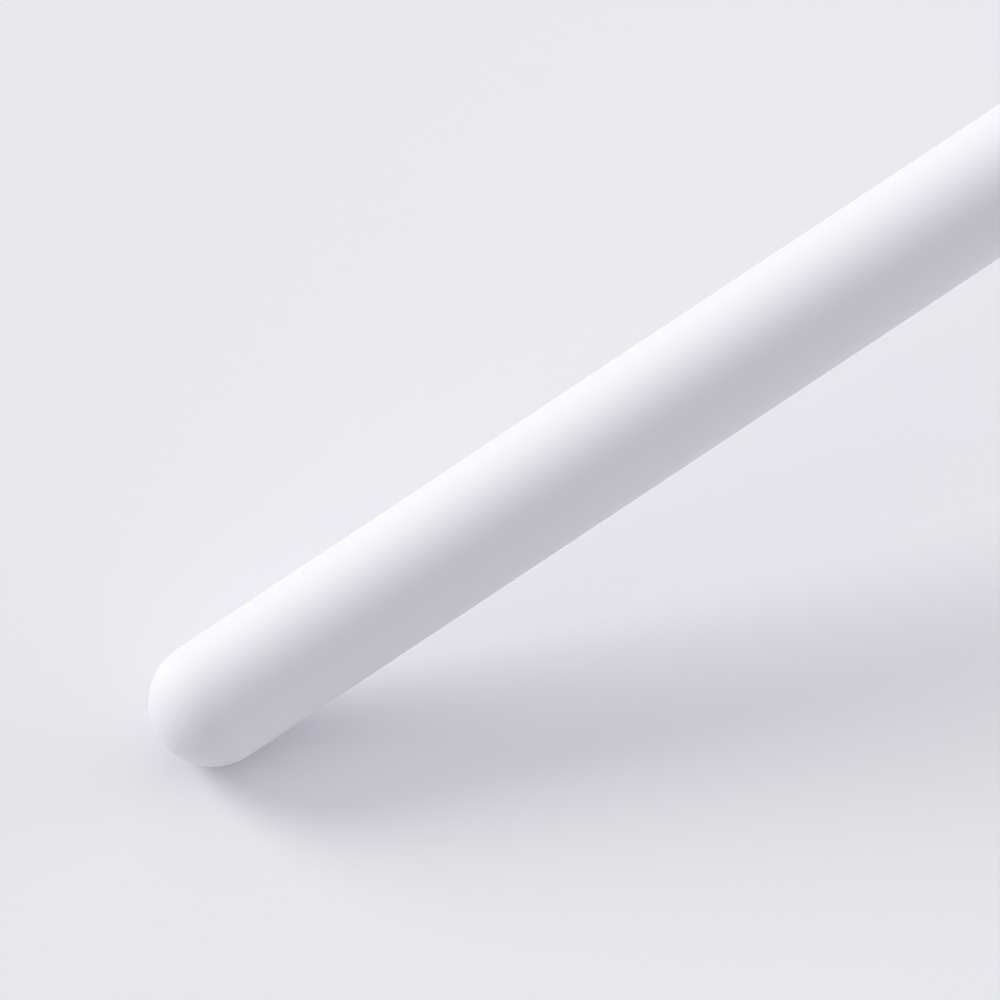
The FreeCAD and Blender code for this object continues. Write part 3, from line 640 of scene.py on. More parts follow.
def copied(name, pattern, places, body, slot, *nodes, axis=Z):
    """Adds copies of one pattern mesh at these places, each a point and a turn about one axis."""
    points = bpy.data.meshes.new(name + "_places")
    points.from_pydata([place for place, turn in places], [], [])
    turns = points.attributes.new("turn", "FLOAT_VECTOR", "POINT")
    for value, (place, turn) in zip(turns.data, places):
        value.vector = [turn if k == axis else 0.0 for k in range(3)]
    sample = show(name + "_pattern", pattern)
    mesh = grown(name, copies_tree, points, slot, Pattern=sample)
    bpy.data.objects.remove(sample)
    bpy.data.meshes.remove(pattern)
    add_piece(name, mesh, body, slot, *nodes)


def boxes_of(node):
    """The lowest and highest corner of each separate solid in a CAD node, in order along X."""
    work = bmesh.new()
    work.from_mesh(frame["nodes"][node].data)
    bmesh.ops.remove_doubles(work, verts=work.verts, dist=SAME_POINT)
    left = set(work.verts)
    boxes = []
    while left:
        island = [left.pop()]
        for vert in island:
            near = [edge.other_vert(vert) for edge in vert.link_edges]
            fresh = [other for other in near if other in left]
            left.difference_update(fresh)
            island.extend(fresh)
        low = Vector(min(vert.co[k] for vert in island) for k in range(3))
        high = Vector(max(vert.co[k] for vert in island) for k in range(3))
        boxes.append((low, high))
    work.free()
    return sorted(boxes, key=lambda box: [round(box[0][k], ORDER_DIGITS) for k in (X, Y)])


def reach_of(node):
    """Where a turned CAD node starts and ends along the pen, and its radius."""
    low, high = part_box(node)
    return low.x, high.x, (high.y - low.y) / 2


AXIS_HEIGHT = sum(corner.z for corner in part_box("nib")) / 2


# ---------------------------------------------------------------------------------------------
# Effects that several materials share.
# ---------------------------------------------------------------------------------------------

NOISE_RANGE = (0.3, 0.7)
TRACK_SHARE = 0.45
GAP_SHARE = 0.3

# The Mix node's colour sockets, whose names it shares with its other kinds.
MIX_UNDER, MIX_OVER, MIXED = 6, 7, 2


def shader_tree(name, inputs, outputs):
    """A shader group whose textures read the place on the object."""
    tree, wires, entry, leave = new_tree(name, "ShaderNodeTree", inputs, outputs)
    place = wires.add("ShaderNodeTexCoord").outputs["Object"]
    return tree, wires, entry, leave, place


def give_grain(wires, entry, leave, height):
    """Ends a group with a roughness that follows a height, and that height."""
    spread = wires.add("ShaderNodeMapRange", {
        "Value": height, "From Min": NOISE_RANGE[0], "From Max": NOISE_RANGE[1],
        "To Min": entry["Smoothest"], "To Max": entry["Roughest"]})
    wires.feed(leave.inputs[0], spread.outputs[0])
    wires.feed(leave.inputs[1], height)


def give_marking(wires, leave, mask, under, over):
    """Ends a group with a colour that lies over another where a mask is, and that mask."""
    mixed = wires.add("ShaderNodeMix", {"Factor": mask}, data_type="RGBA")
    wires.feed(mixed.inputs[MIX_UNDER], under)
    wires.feed(mixed.inputs[MIX_OVER], over)
    wires.feed(leave.inputs[0], mixed.outputs[MIXED])
    wires.feed(leave.inputs[1], mask)


def tone_drift_tree():
    """A colour that drifts lighter and darker in broad soft patches."""
    tree, wires, entry, leave, place = shader_tree("Tone Drift", [
        ("Colour", COLOUR, (0.8, 0.8, 0.8, 1.0)), ("Drift", FLOAT, 0.02), ("Scale", FLOAT, 120.0),
    ], [("Colour", COLOUR)])
    noise = wires.add("ShaderNodeTexNoise", {"Vector": place, "Scale": entry["Scale"], "Detail": 3.0})
    centred = wires.maths("SUBTRACT", noise.outputs[0], 0.5)
    value = wires.maths("MULTIPLY_ADD", centred, entry["Drift"], 1.0)
    shifted = wires.add("ShaderNodeHueSaturation", {"Value": value, "Color": entry["Colour"]})
    wires.feed(leave.inputs[0], shifted.outputs[0])
    return tree


def fine_grain_tree():
    """The tiny unevenness of a moulded, sintered or cast surface."""
    tree, wires, entry, leave, place = shader_tree("Fine Grain", [
        ("Scale", FLOAT, 6000.0), ("Smoothest", FLOAT, 0.35), ("Roughest", FLOAT, 0.45),
    ], [("Roughness", FLOAT), ("Height", FLOAT)])
    noise = wires.add("ShaderNodeTexNoise", {"Vector": place, "Scale": entry["Scale"], "Detail": 4.0,
                                             "Roughness": 0.6})
    give_grain(wires, entry, leave, noise.outputs[0])
    return tree


def specks_tree():
    """Sparse specks of dust on a clean surface."""
    tree, wires, entry, leave, place = shader_tree("Dust Specks", [
        ("Colour", COLOUR, (0.8, 0.8, 0.8, 1.0)), ("Speck Colour", COLOUR, (0.3, 0.28, 0.26, 1.0)),
        ("Spacing", FLOAT, 0.002), ("Speck Size", FLOAT, 0.00008), ("Share", FLOAT, 0.05),
    ], [("Colour", COLOUR), ("Mask", FLOAT)])
    scale = wires.maths("DIVIDE", 1.0, entry["Spacing"])
    cells = wires.add("ShaderNodeTexVoronoi", {"Vector": place, "Scale": scale})
    near = wires.maths("MULTIPLY", cells.outputs["Distance"], entry["Spacing"])
    pick = wires.add("ShaderNodeSeparateColor", {0: cells.outputs["Color"]}).outputs
    size = wires.maths("MULTIPLY", pick[1], entry["Speck Size"])
    inside = wires.maths("LESS_THAN", near, size)
    chosen = wires.maths("LESS_THAN", pick[0], entry["Share"])
    mask = wires.maths("MULTIPLY", inside, chosen)
    give_marking(wires, leave, mask, entry["Colour"], entry["Speck Colour"])
    return tree


def tool_marks_tree():
    """Fine lines that a cutter, a die or a brush leaves, stretched along one direction."""
    tree, wires, entry, leave, place = shader_tree("Tool Marks", [
        ("Stretch", VECTOR, None), ("Smoothest", FLOAT, 0.2), ("Roughest", FLOAT, 0.35),
    ], [("Roughness", FLOAT), ("Height", FLOAT)])
    scaled = wires.add("ShaderNodeVectorMath", {0: place, 1: entry["Stretch"]}, operation="MULTIPLY")
    noise = wires.add("ShaderNodeTexNoise", {"Vector": scaled.outputs[0], "Scale": 1.0, "Detail": 3.0})
    give_grain(wires, entry, leave, noise.outputs[0])
    return tree


def tracks_tree():
    """Copper tracks under a film or a solder mask, as a mask of thin stepped lines."""
    tree, wires, entry, leave, place = shader_tree("Tracks", [
        ("Colour", COLOUR, (0.1, 0.3, 0.1, 1.0)), ("Track Colour", COLOUR, (0.4, 0.3, 0.1, 1.0)),
        ("Pitch", FLOAT, 0.0004), ("Run", FLOAT, 0.006),
    ], [("Colour", COLOUR), ("Height", FLOAT)])
    parts = wires.add("ShaderNodeSeparateXYZ", {0: place}).outputs
    cell = wires.maths("FLOOR", wires.maths("DIVIDE", parts[X], entry["Run"]))
    jog = wires.add("ShaderNodeTexWhiteNoise", {"W": cell}, noise_dimensions="1D").outputs["Value"]
    shifted = wires.maths("ADD", wires.maths("DIVIDE", parts[Y], entry["Pitch"]), jog)
    in_lane = wires.maths("LESS_THAN", wires.maths("FRACT", shifted), TRACK_SHARE)
    kept = wires.add("ShaderNodeTexWhiteNoise", noise_dimensions="2D")
    wires.feed(kept.inputs["Vector"], wires.combined(cell, wires.maths("FLOOR", shifted), 0.0))
    run_here = wires.maths("GREATER_THAN", kept.outputs["Value"], GAP_SHARE)
    mask = wires.maths("MULTIPLY", in_lane, run_here)
    give_marking(wires, leave, mask, entry["Colour"], entry["Track Colour"])
    return tree


# ---------------------------------------------------------------------------------------------
# Materials.
# ---------------------------------------------------------------------------------------------

BASE_COLOURS = {entry["slot"]: entry["base_color"][:3] for entry in frame["record"]["materials"]}


def new_material(name, metallic=0.0, specular=0.5, coat=0.0):
    """A material with its shader, and the wiring that feeds it."""
    material = bpy.data.materials.new(name)
    material.use_nodes = True
    wires = Wiring(material.node_tree)
    shader = next(node for node in material.node_tree.nodes if node.type == "BSDF_PRINCIPLED")
    shader.inputs["Metallic"].default_value = metallic
    shader.inputs["Specular IOR Level"].default_value = specular
    shader.inputs["Coat Weight"].default_value = coat
    return material, wires, shader


def effect(wires, maker, **inputs):
    """Places a shared effect in a material with its own values, and returns its outputs."""
    node = wires.add("ShaderNodeGroup", node_tree=made_once(maker))
    for name, value in inputs.items():
        wires.feed(node.inputs[name.replace("_", " ")], value)
    return node.outputs


def opaque(value):
    """A colour with its alpha."""
    return (*value, 1.0)


def give_surface(wires, shader, tone, roughness, height, depth):
    """Feeds a shader its colour, its roughness and a bump of this depth in metres."""
    bump = wires.add("ShaderNodeBump", {"Height": height, "Distance": depth, "Strength": 1.0})
    wires.feed(shader.inputs["Base Color"], tone)
    wires.feed(shader.inputs["Roughness"], roughness)
    wires.feed(shader.inputs["Normal"], bump.outputs[0])


def moulded(name, base, smoothest, roughest, grain=5000.0, depth=0.0006 * MM, drift=0.03,
            specks=0.0, specular=0.5):
    """A moulded plastic or rubber, with soft changes of tone, a fine grain and a little dust."""
    material, wires, shader = new_material(name, specular=specular)
    tone = effect(wires, tone_drift_tree, Colour=opaque(base), Drift=drift)[0]
    if specks:
        tone = effect(wires, specks_tree, Colour=tone, Share=specks)[0]
    grained = effect(wires, fine_grain_tree, Scale=grain, Smoothest=smoothest, Roughest=roughest)
    give_surface(wires, shader, tone, *grained[:2], depth)
    return material


def machined(name, base, smoothest, roughest, stretch, depth=0.0008 * MM, metallic=1.0, coat=0.0):
    """A metal with the lines of its making, which lie across the largest stretch."""
    material, wires, shader = new_material(name, metallic=metallic, coat=coat)
    tone = effect(wires, tone_drift_tree, Colour=opaque(base), Drift=0.1, Scale=400.0)[0]
    marks = effect(wires, tool_marks_tree, Stretch=stretch, Smoothest=smoothest, Roughest=roughest)
    give_surface(wires, shader, tone, *marks[:2], depth)
    return material


def tracked(name, base, track, pitch, run, roughness):
    """A laminate or film that shows the copper tracks beneath its surface."""
    material, wires, shader = new_material(name)
    tone = effect(wires, tone_drift_tree, Colour=opaque(base), Drift=0.12, Scale=600.0)[0]
    tracks = effect(wires, tracks_tree, Colour=tone, Track_Colour=opaque(track), Pitch=pitch,
                    Run=run)
    grained = effect(wires, fine_grain_tree, Scale=9000.0, Smoothest=roughness,
                     Roughest=roughness + TRACKED_SPREAD)
    give_surface(wires, shader, tracks[0], grained[0], tracks[1], TRACK_HEIGHT)
    return material


TRACK_HEIGHT = 0.01 * MM
TRACKED_SPREAD = 0.12

# How far the tool marks of a metal are drawn out along each axis.
RINGS = (9000.0, 60.0, 60.0)
ALONG = (120.0, 9000.0, 9000.0)
EVERY_WAY = (4000.0, 4000.0, 4000.0)


def satin_white():
    """The casing's white plastic."""
    casing = bpy.context.scene.stylus_casing
    smooth = casing.roughness
    return moulded("satin_white", casing.white, smooth - 0.03, smooth + 0.05, grain=3800.0,
                   depth=0.0009 * MM, drift=0.012, specks=casing.speck_share, specular=0.4)


def nib_white():
    """The nib's harder, drier white plastic."""
    return moulded("nib_white", bpy.context.scene.stylus_nib.white, 0.48, 0.6, grain=6500.0,
                   depth=0.0015 * MM, drift=0.02, specks=0.02)


def ivory_bearing():
    """Slippery ivory plastic of the bush."""
    return moulded("ivory_bearing", BASE_COLOURS["bearing_plastic"], 0.28, 0.4)


def pale_washer():
    """Pale plastic of the washer."""
    return moulded("pale_washer", BASE_COLOURS["washer_plastic"], 0.3, 0.42)


def cream_socket():
    """Glass-filled plastic of the cable sockets."""
    return moulded("cream_socket", BASE_COLOURS["socket_plastic"], 0.45, 0.6, depth=0.002 * MM)


def grey_silicone():
    """Soft silicone of the cushion in the tail."""
    return moulded("grey_silicone", BASE_COLOURS["silicone"], 0.55, 0.72, grain=3000.0,
                   depth=0.003 * MM, specks=0.08)


def black_rubber():
    """Rubber of the shaft seal."""
    return moulded("black_rubber", BASE_COLOURS["seal_rubber"], 0.5, 0.68, depth=0.002 * MM)


def chip_resin():
    """Black resin of the chips, which is full of silica grains."""
    return moulded("chip_resin", BASE_COLOURS["chip_resin"], 0.5, 0.7, grain=12000.0,
                   depth=0.002 * MM, drift=0.2)


def dark_ferrite():
    """Sintered ferrite."""
    return moulded("dark_ferrite", BASE_COLOURS["ferrite"], 0.4, 0.65, grain=8000.0,
                   depth=0.003 * MM, drift=0.3)


def tan_ceramic():
    """Ceramic of the capacitors."""
    return moulded("tan_ceramic", BASE_COLOURS["capacitor_ceramic"], 0.35, 0.5, drift=0.12)


def sleeve_blue():
    """Shrunk film round the cell."""
    return moulded("sleeve_blue", BASE_COLOURS["sleeve_film"], 0.2, 0.3, grain=900.0,
                   depth=0.004 * MM, drift=0.08)


def turned_steel():
    """Bright steel with the rings of the lathe."""
    return machined("turned_steel", BASE_COLOURS["steel"], 0.18, 0.34, RINGS)


def spring_steel():
    """Drawn steel wire."""
    return machined("spring_steel", BASE_COLOURS["spring_steel"], 0.22, 0.36, EVERY_WAY)


def turned_brass():
    """Brass with the rings of the lathe."""
    return machined("turned_brass", BASE_COLOURS["brass"], 0.2, 0.36, RINGS)


def plated_nickel():
    """Nickel plate of the magnets, the shield and the tabs."""
    return machined("plated_nickel", BASE_COLOURS["nickel"], 0.14, 0.28, EVERY_WAY,
                    depth=0.0005 * MM)


def cast_alloy():
    """The chassis's alloy, with a milled surface."""
    return machined("cast_alloy", BASE_COLOURS["chassis_alloy"], 0.34, 0.5, ALONG, depth=0.002 * MM)


def drawn_can():
    """The cell's deep-drawn can, with lines along it."""
    return machined("drawn_can", BASE_COLOURS["cell_can"], 0.16, 0.3, ALONG)


def enamelled_copper():
    """Copper wire under its clear enamel."""
    return machined("enamelled_copper", BASE_COLOURS["copper_wire"], 0.2, 0.32, EVERY_WAY,
                    coat=0.6)


def board_laminate():
    """The green board with its tracks under the solder mask."""
    return tracked("board_laminate", BASE_COLOURS["board_laminate"], (0.07, 0.26, 0.12),
                   0.42 * MM, 3.1 * MM, 0.28)


def amber_film():
    """Amber polyimide with its tracks."""
    return tracked("amber_film", BASE_COLOURS["polyimide"], (0.75, 0.34, 0.09),
                   0.5 * MM, 14.0 * MM, 0.22)


SLOT_FINISHES = {
    "casing_white": satin_white,
    "nib_white": nib_white,
    "bearing_plastic": ivory_bearing,
    "washer_plastic": pale_washer,
    "steel": turned_steel,
    "spring_steel": spring_steel,
    "brass": turned_brass,
    "nickel": plated_nickel,
    "copper_wire": enamelled_copper,
    "ferrite": dark_ferrite,
    "chassis_alloy": cast_alloy,
    "board_laminate": board_laminate,
    "chip_resin": chip_resin,
    "capacitor_ceramic": tan_ceramic,
    "socket_plastic": cream_socket,
    "polyimide": amber_film,
    "cell_can": drawn_can,
    "sleeve_film": sleeve_blue,
    "silicone": grey_silicone,
    "seal_rubber": black_rubber,
}
PLAIN_PIECES = {
    "chassis": "chassis_alloy",
    "battery_board": "board_laminate",
    "magnet_keepers": "steel",
    "ferrite_core": "ferrite",
    "battery_tabs": "nickel",
    "touch_film": "polyimide",
    "antenna_film": "polyimide",
    "sensor_cable": "polyimide",
    "battery_cable": "polyimide",
}


def in_slot(slot):
    """The finish of one of the record's material slots."""
    return made_once(SLOT_FINISHES[slot])


# ---------------------------------------------------------------------------------------------
# The pieces.
# ---------------------------------------------------------------------------------------------

CASING, STUD, WASHER, NIB = "casing", "nib_stud", "nib_washer", "nib"
LEGGED_CHIPS = ("processor", "touch_chip", "charging_chip")
FLAT_CHIPS = ("radio_chip", "motion_sensor")

# How finely the pieces are divided.
DOME_STEPS = 44
BARREL_STATIONS = 48
NOSE_STATIONS = 8
SEAL_STEPS = 24
BALL_STEPS = 16
NIB_STATIONS = 8
NIB_SEGMENTS = 192
CAN_STATIONS = 12
GROOVE_STEPS = 12
CUSHION_STEPS = 20
SCREW_SEGMENTS = 48

# Shares and multiples of a piece's own size.
KNURL_CHANNEL = 0.12
KNURL_CREST = 0.35
RIDGE_OVERLAP = 0.85
RIDGE_SHARE = 0.3
SLOT_REACH = 1.25
INDUCTOR_END = 0.3
PAD_ROW_SETBACK = 6
PAD_ROW_PITCH = 1.5
COIL_SQUARENESS = 0.35

# A chip's leg, as shares of its reach from the package and of its lift off the board.
LEG_BENDS = ((1.0, 1.0), (0.55, 1.0), (0.35, 0.85))
FOOT_BENDS = ((0.2, 1.5), (0.1, 1.0), (0.0, 1.0))

PAD_COLUMNS = 3
SCREW_TURN = math.radians(37)
CAP_STEP = 0.02 * MM
FACES_DOWN = -0.9
FLOOR_HALF = 7.0
FLOOR_PARTS = 2
FLOOR_ROUGHNESS = 0.7
FILL_FALLOFF = 2.0
CLIP_RANGE = (0.01, 20.0)


class STYLUS_OT_barrel(bpy.types.Operator):
    """Builds the barrel with its domed tail and the flat that it rests on"""

    bl_idname = "stylus.barrel"
    bl_label = "Barrel"
    bl_options = {"REGISTER", "UNDO"}

    def execute(self, context):
        casing = context.scene.stylus_casing
        tail, front, radius = reach_of("barrel")
        bore = radius - casing.wall
        dome = tail + radius
        run = stations((dome, radius), (front, radius), BARREL_STATIONS)
        outline = arc((dome, 0.0), radius, 180, 90, DOME_STEPS) + run
        outline += [(front, radius), (front, bore)]
        outline += arc((dome, 0.0), bore, 90, 180, DOME_STEPS // 2)
        outline[0] = (tail, 0.0)
        outline[-1] = (dome - bore, 0.0)
        turned("barrel_shell", softened(outline, casing.edge), CASING, "casing_white", "barrel",
               segments=casing.segments, Flat_Height=0.0, Flat_Blend=casing.flat_blend)
        return {"FINISHED"}


class STYLUS_OT_nose(bpy.types.Operator):
    """Builds the tapered nose, with the spigot that is bonded into the barrel"""

    bl_idname = "stylus.nose"
    bl_label = "Nose"
    bl_options = {"REGISTER", "UNDO"}

    def execute(self, context):
        casing, nib = context.scene.stylus_casing, context.scene.stylus_nib
        gap, play = casing.spigot_gap, nib.play
        rear, lip, radius = reach_of("nose_cone")
        seam = reach_of("barrel")[1] + gap
        spigot = radius - casing.wall - gap
        cavity = spigot - casing.spigot_wall
        lip_radius = reach_of("nib")[2] + casing.lip_step
        bore = nib.shaft / 2 + casing.bore_gap
        ring_rear, ring_front, ring = reach_of("tilt_electrode")
        ring_bore = ring - context.scene.stylus_sensor.electrode_wall
        seal_rear, seal_front, seal = reach_of("nose_seal")
        floor, pocket = ring_rear - gap, ring_front + gap
        outline = [
            (rear, cavity), (rear, spigot), (seam, spigot), (seam, radius),
            *stations((seam, radius), (lip, lip_radius), NOSE_STATIONS),
            (lip, lip_radius), (lip, bore),
            (seal_front + play, bore), (seal_front + play, seal + play),
            (seal_rear - play, seal + play), (seal_rear - play, bore), (floor, bore),
            (floor, ring_bore - gap), (pocket, ring_bore - gap),
            (pocket, ring + gap), (floor, ring + gap), (floor, cavity),
        ]
        turned("nose_taper", softened(outline, casing.edge, closed=True), CASING, "casing_white",
               "nose_cone", segments=casing.segments, Flat_Height=0.0,
               Flat_Blend=casing.flat_blend)
        return {"FINISHED"}


class STYLUS_OT_nose_fittings(bpy.types.Operator):
    """Builds the tilt electrode in the nose and the seal round the stud"""

    bl_idname = "stylus.nose_fittings"
    bl_label = "Nose Fittings"
    bl_options = {"REGISTER", "UNDO"}

    def execute(self, context):
        sensor = context.scene.stylus_sensor
        bore = reach_of("tilt_electrode")[2] - sensor.electrode_wall
        turned_ring("tilt_ring", bore, sensor.edge, CASING, "brass", "tilt_electrode")
        rear, front, radius = reach_of("nose_seal")
        section = (front - rear) / 2
        circle = arc(((rear + front) / 2, radius - section), section, 0, 360, SEAL_STEPS)
        turned("shaft_seal", circle, CASING, "seal_rubber", "nose_seal")
        return {"FINISHED"}


class STYLUS_OT_nib(bpy.types.Operator):
    """Builds the nib and the threaded insert moulded into it"""

    bl_idname = "stylus.nib"
    bl_label = "Nib"
    bl_options = {"REGISTER", "UNDO"}

    def execute(self, context):
        nib = context.scene.stylus_nib
        base, tip, radius = reach_of("nib")
        insert_rear, insert_front, insert = reach_of("nib_insert")
        washer = reach_of("nib_washer")[2]
        ball, bore, play = tip - nib.tip_radius, insert - nib.insert_wall, nib.play
        tangent = math.acos(nib.tip_radius / math.hypot(ball - base, radius))
        lean = 180 - math.degrees(tangent + math.atan2(radius, ball - base))
        point = arc((ball, 0.0), nib.tip_radius, lean, 0, BALL_STEPS)
        point[-1] = (tip, 0.0)
        outline = [
            (base, washer + play), (base, radius),
            *stations((base, radius), point[0], NIB_STATIONS), *point,
            (insert_front + nib.recess, 0.0), (insert_front + nib.recess, bore),
            (insert_front + play, bore), (insert_front + play, insert + play),
            (insert_rear - play / 2, insert + play), (insert_rear - play / 2, washer + play),
        ]
        turned("nib_point", softened(outline, nib.edge, closed=True), NIB, "nib_white", "nib",
               segments=NIB_SEGMENTS)
        turned_ring("insert_sleeve", bore, nib.edge, NIB, "brass", "nib_insert",
                    slimmer=nib.knurl_depth)
        self.knurl(nib, insert_rear, insert_front, insert)
        return {"FINISHED"}

    @staticmethod
    def knurl(nib, rear, front, radius):
        """The ribs round the insert, in two rows, which hold it in the nib."""
        rib, margin = nib.knurl_depth * 2, nib.edge * 2
        middle, half_channel = (rear + front) / 2, (front - rear) * KNURL_CHANNEL / 2
        rows = ((rear + margin, middle - half_channel), (middle + half_channel, front - margin))
        work = bmesh.new()
        for start, end in rows:
            for vert in bmesh.ops.create_cube(work, size=1.0)["verts"]:
                raised = vert.co.z > 0
                half = rib / 2 * (KNURL_CREST if raised else 1)
                vert.co = (start if vert.co.x < 0 else end, half if vert.co.y > 0 else -half,
                           radius if raised else radius - rib)
        turns = [math.tau * k / nib.knurl_ribs for k in range(nib.knurl_ribs)]
        places = [((0.0, 0.0, AXIS_HEIGHT), turn) for turn in turns]
        copied("insert_knurl", tidy_mesh(mesh_of(work, "ribs")), places, NIB, "brass", axis=X)


class STYLUS_OT_stud(bpy.types.Operator):
    """Builds the sliding stud with its thread, and the washer that the nib is tightened on"""

    bl_idname = "stylus.stud"
    bl_label = "Stud and Washer"
    bl_options = {"REGISTER", "UNDO"}

    def execute(self, context):
        nib, sensor = context.scene.stylus_nib, context.scene.stylus_sensor
        rear, front, collar = reach_of("nib_stud")
        shaft, crest = nib.shaft / 2, nib.thread / 2
        root = crest - nib.thread_depth
        shoulder = reach_of("nib_washer")[0] - nib.play
        spring_front = reach_of("return_spring")[1] + nib.play
        outline = [
            (rear, 0.0), (rear, nib.pin / 2), (spring_front, nib.pin / 2), (spring_front, collar),
            (spring_front + sensor.collar, collar), (spring_front + sensor.collar, shaft),
            (shoulder, shaft), (shoulder, root), (front, root), (front, 0.0),
        ]
        turned("stud_shaft", softened(outline, nib.edge), STUD, "steel", "nib_stud")
        self.thread(nib, shoulder, front, root, crest)
        bore = reach_of("nib_insert")[2] - nib.insert_wall
        turned_ring("spacer_washer", bore, nib.edge, WASHER, "washer_plastic", "nib_washer")
        return {"FINISHED"}

    @staticmethod
    def thread(nib, start, end, root, crest):
        """The ridge that winds round the stud's root, clear of both its ends."""
        ridge = (crest - root) * RIDGE_OVERLAP
        radius = crest - ridge
        extent = end - start - 2 * ridge - nib.thread_lead
        place = (start + ridge + nib.thread_lead / 2, 0.0, AXIS_HEIGHT)
        wound("stud_thread", place, extent, extent / nib.thread_lead, (radius, radius), ridge,
              STUD, "steel", Wire_Sides=4, Steps_per_Turn=40)


class STYLUS_OT_sensor(bpy.types.Operator):
    """Builds the pressure sensor: its tube, bush, spring, force sensor and retaining ring"""

    bl_idname = "stylus.sensor"
    bl_label = "Pressure Sensor"
    bl_options = {"REGISTER", "UNDO"}

    def execute(self, context):
        nib, sensor = context.scene.stylus_nib, context.scene.stylus_sensor
        edge = sensor.edge
        rear, front, outside = reach_of("sensor_housing")
        bore, mouth = outside - sensor.tube_wall, reach_of("nib_stud")[2]
        rim = front - sensor.rim
        housing = [(rear, bore), (rear, outside), (front, outside), (front, mouth), (rim, mouth),
                   (rim, bore)]
        turned("sensor_tube", softened(housing, edge, closed=True), CASING, "steel", "sensor_housing")
        turned_ring("guide_bush", nib.shaft / 2 + nib.running_gap, edge, CASING, "bearing_plastic",
                    "stud_guide")
        rear, front, outside = reach_of("force_sensor")
        step, boss = rear + sensor.disc, sensor.boss / 2
        disc = [(rear, 0.0), (rear, outside), (step, outside), (step, boss), (front, boss), (front, 0.0)]
        turned("force_disc", softened(disc, edge), CASING, "steel", "force_sensor")
        turned_ring("retaining_ring", sensor.retainer_hole / 2, edge, CASING, "brass",
                    "sensor_retainer")
        self.spring(sensor)
        return {"FINISHED"}

    @staticmethod
    def spring(sensor):
        """The return spring, built at its rest length; the real one shortens towards the force sensor as
        the nib is pressed.
        """
        rear, front, outside = reach_of("return_spring")
        wire = sensor.spring_wire / 2
        radius, extent = outside - wire, front - rear - 2 * wire
        piece = wound("coil_spring", (rear + wire, 0.0, AXIS_HEIGHT), extent, sensor.spring_turns,
                      (radius, radius), wire, CASING, "spring_steel", "return_spring",
                      Closed_Ends=sensor.spring_closing, Wire_Sides=12, Steps_per_Turn=48)
        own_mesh(piece)


class STYLUS_OT_battery(bpy.types.Operator):
    """Builds the cell in its sleeve, and the cushion behind it"""

    bl_idname = "stylus.battery"
    bl_label = "Battery"
    bl_options = {"REGISTER", "UNDO"}

    def execute(self, context):
        battery = context.scene.stylus_battery
        self.cell(battery)
        bore = reach_of("battery_sleeve")[2] - battery.sleeve_wall
        turned_ring("shrink_sleeve", bore, battery.edge, CASING, "sleeve_film", "battery_sleeve")
        self.cushion(battery)
        return {"FINISHED"}

    @staticmethod
    def cell(battery):
        """The cell's can, with its crimp groove, its rolled rim and its terminal."""
        rear, end, radius = reach_of("battery_cell")
        front = end - battery.terminal_height
        groove = front - battery.groove_setback
        half, rim, terminal = battery.groove_width / 2, battery.rim, battery.terminal / 2
        outline = [
            (rear, 0.0), (rear, radius),
            *stations((rear, radius), (groove - half, radius), CAN_STATIONS),
            (groove - half, radius), *groove_points(groove, half, radius, battery.groove_depth),
            (groove + half, radius), (front, radius), (front, radius - rim),
            (front - rim / 2, radius - 2 * rim), (front - rim / 2, terminal),
            (end, terminal), (end, 0.0),
        ]
        turned("cell_can", softened(outline, battery.edge), CASING, "cell_can", "battery_cell")

    @staticmethod
    def cushion(battery):
        """The silicone plug that fills the dome, with the hollow in its front."""
        rear, front, radius = reach_of("tail_cushion")
        dome = arc((rear + radius, 0.0), radius, 180, 90, CUSHION_STEPS)
        dome[0] = (rear, 0.0)
        hole, recess = battery.cushion_hole / 2, front - battery.cushion_recess
        outline = dome + [(front, radius), (front, hole), (recess, hole), (recess, 0.0)]
        turned("tail_plug", softened(outline, battery.edge), CASING, "silicone", "tail_cushion")


def groove_points(centre, half, radius, depth):
    """The round-bottomed crimp groove of a cell, as points of a cosine."""
    shares = [k / GROOVE_STEPS for k in range(1, GROOVE_STEPS)]
    return [(centre - half + 2 * half * s, radius - depth * (1 - math.cos(math.tau * s)) / 2)
            for s in shares]


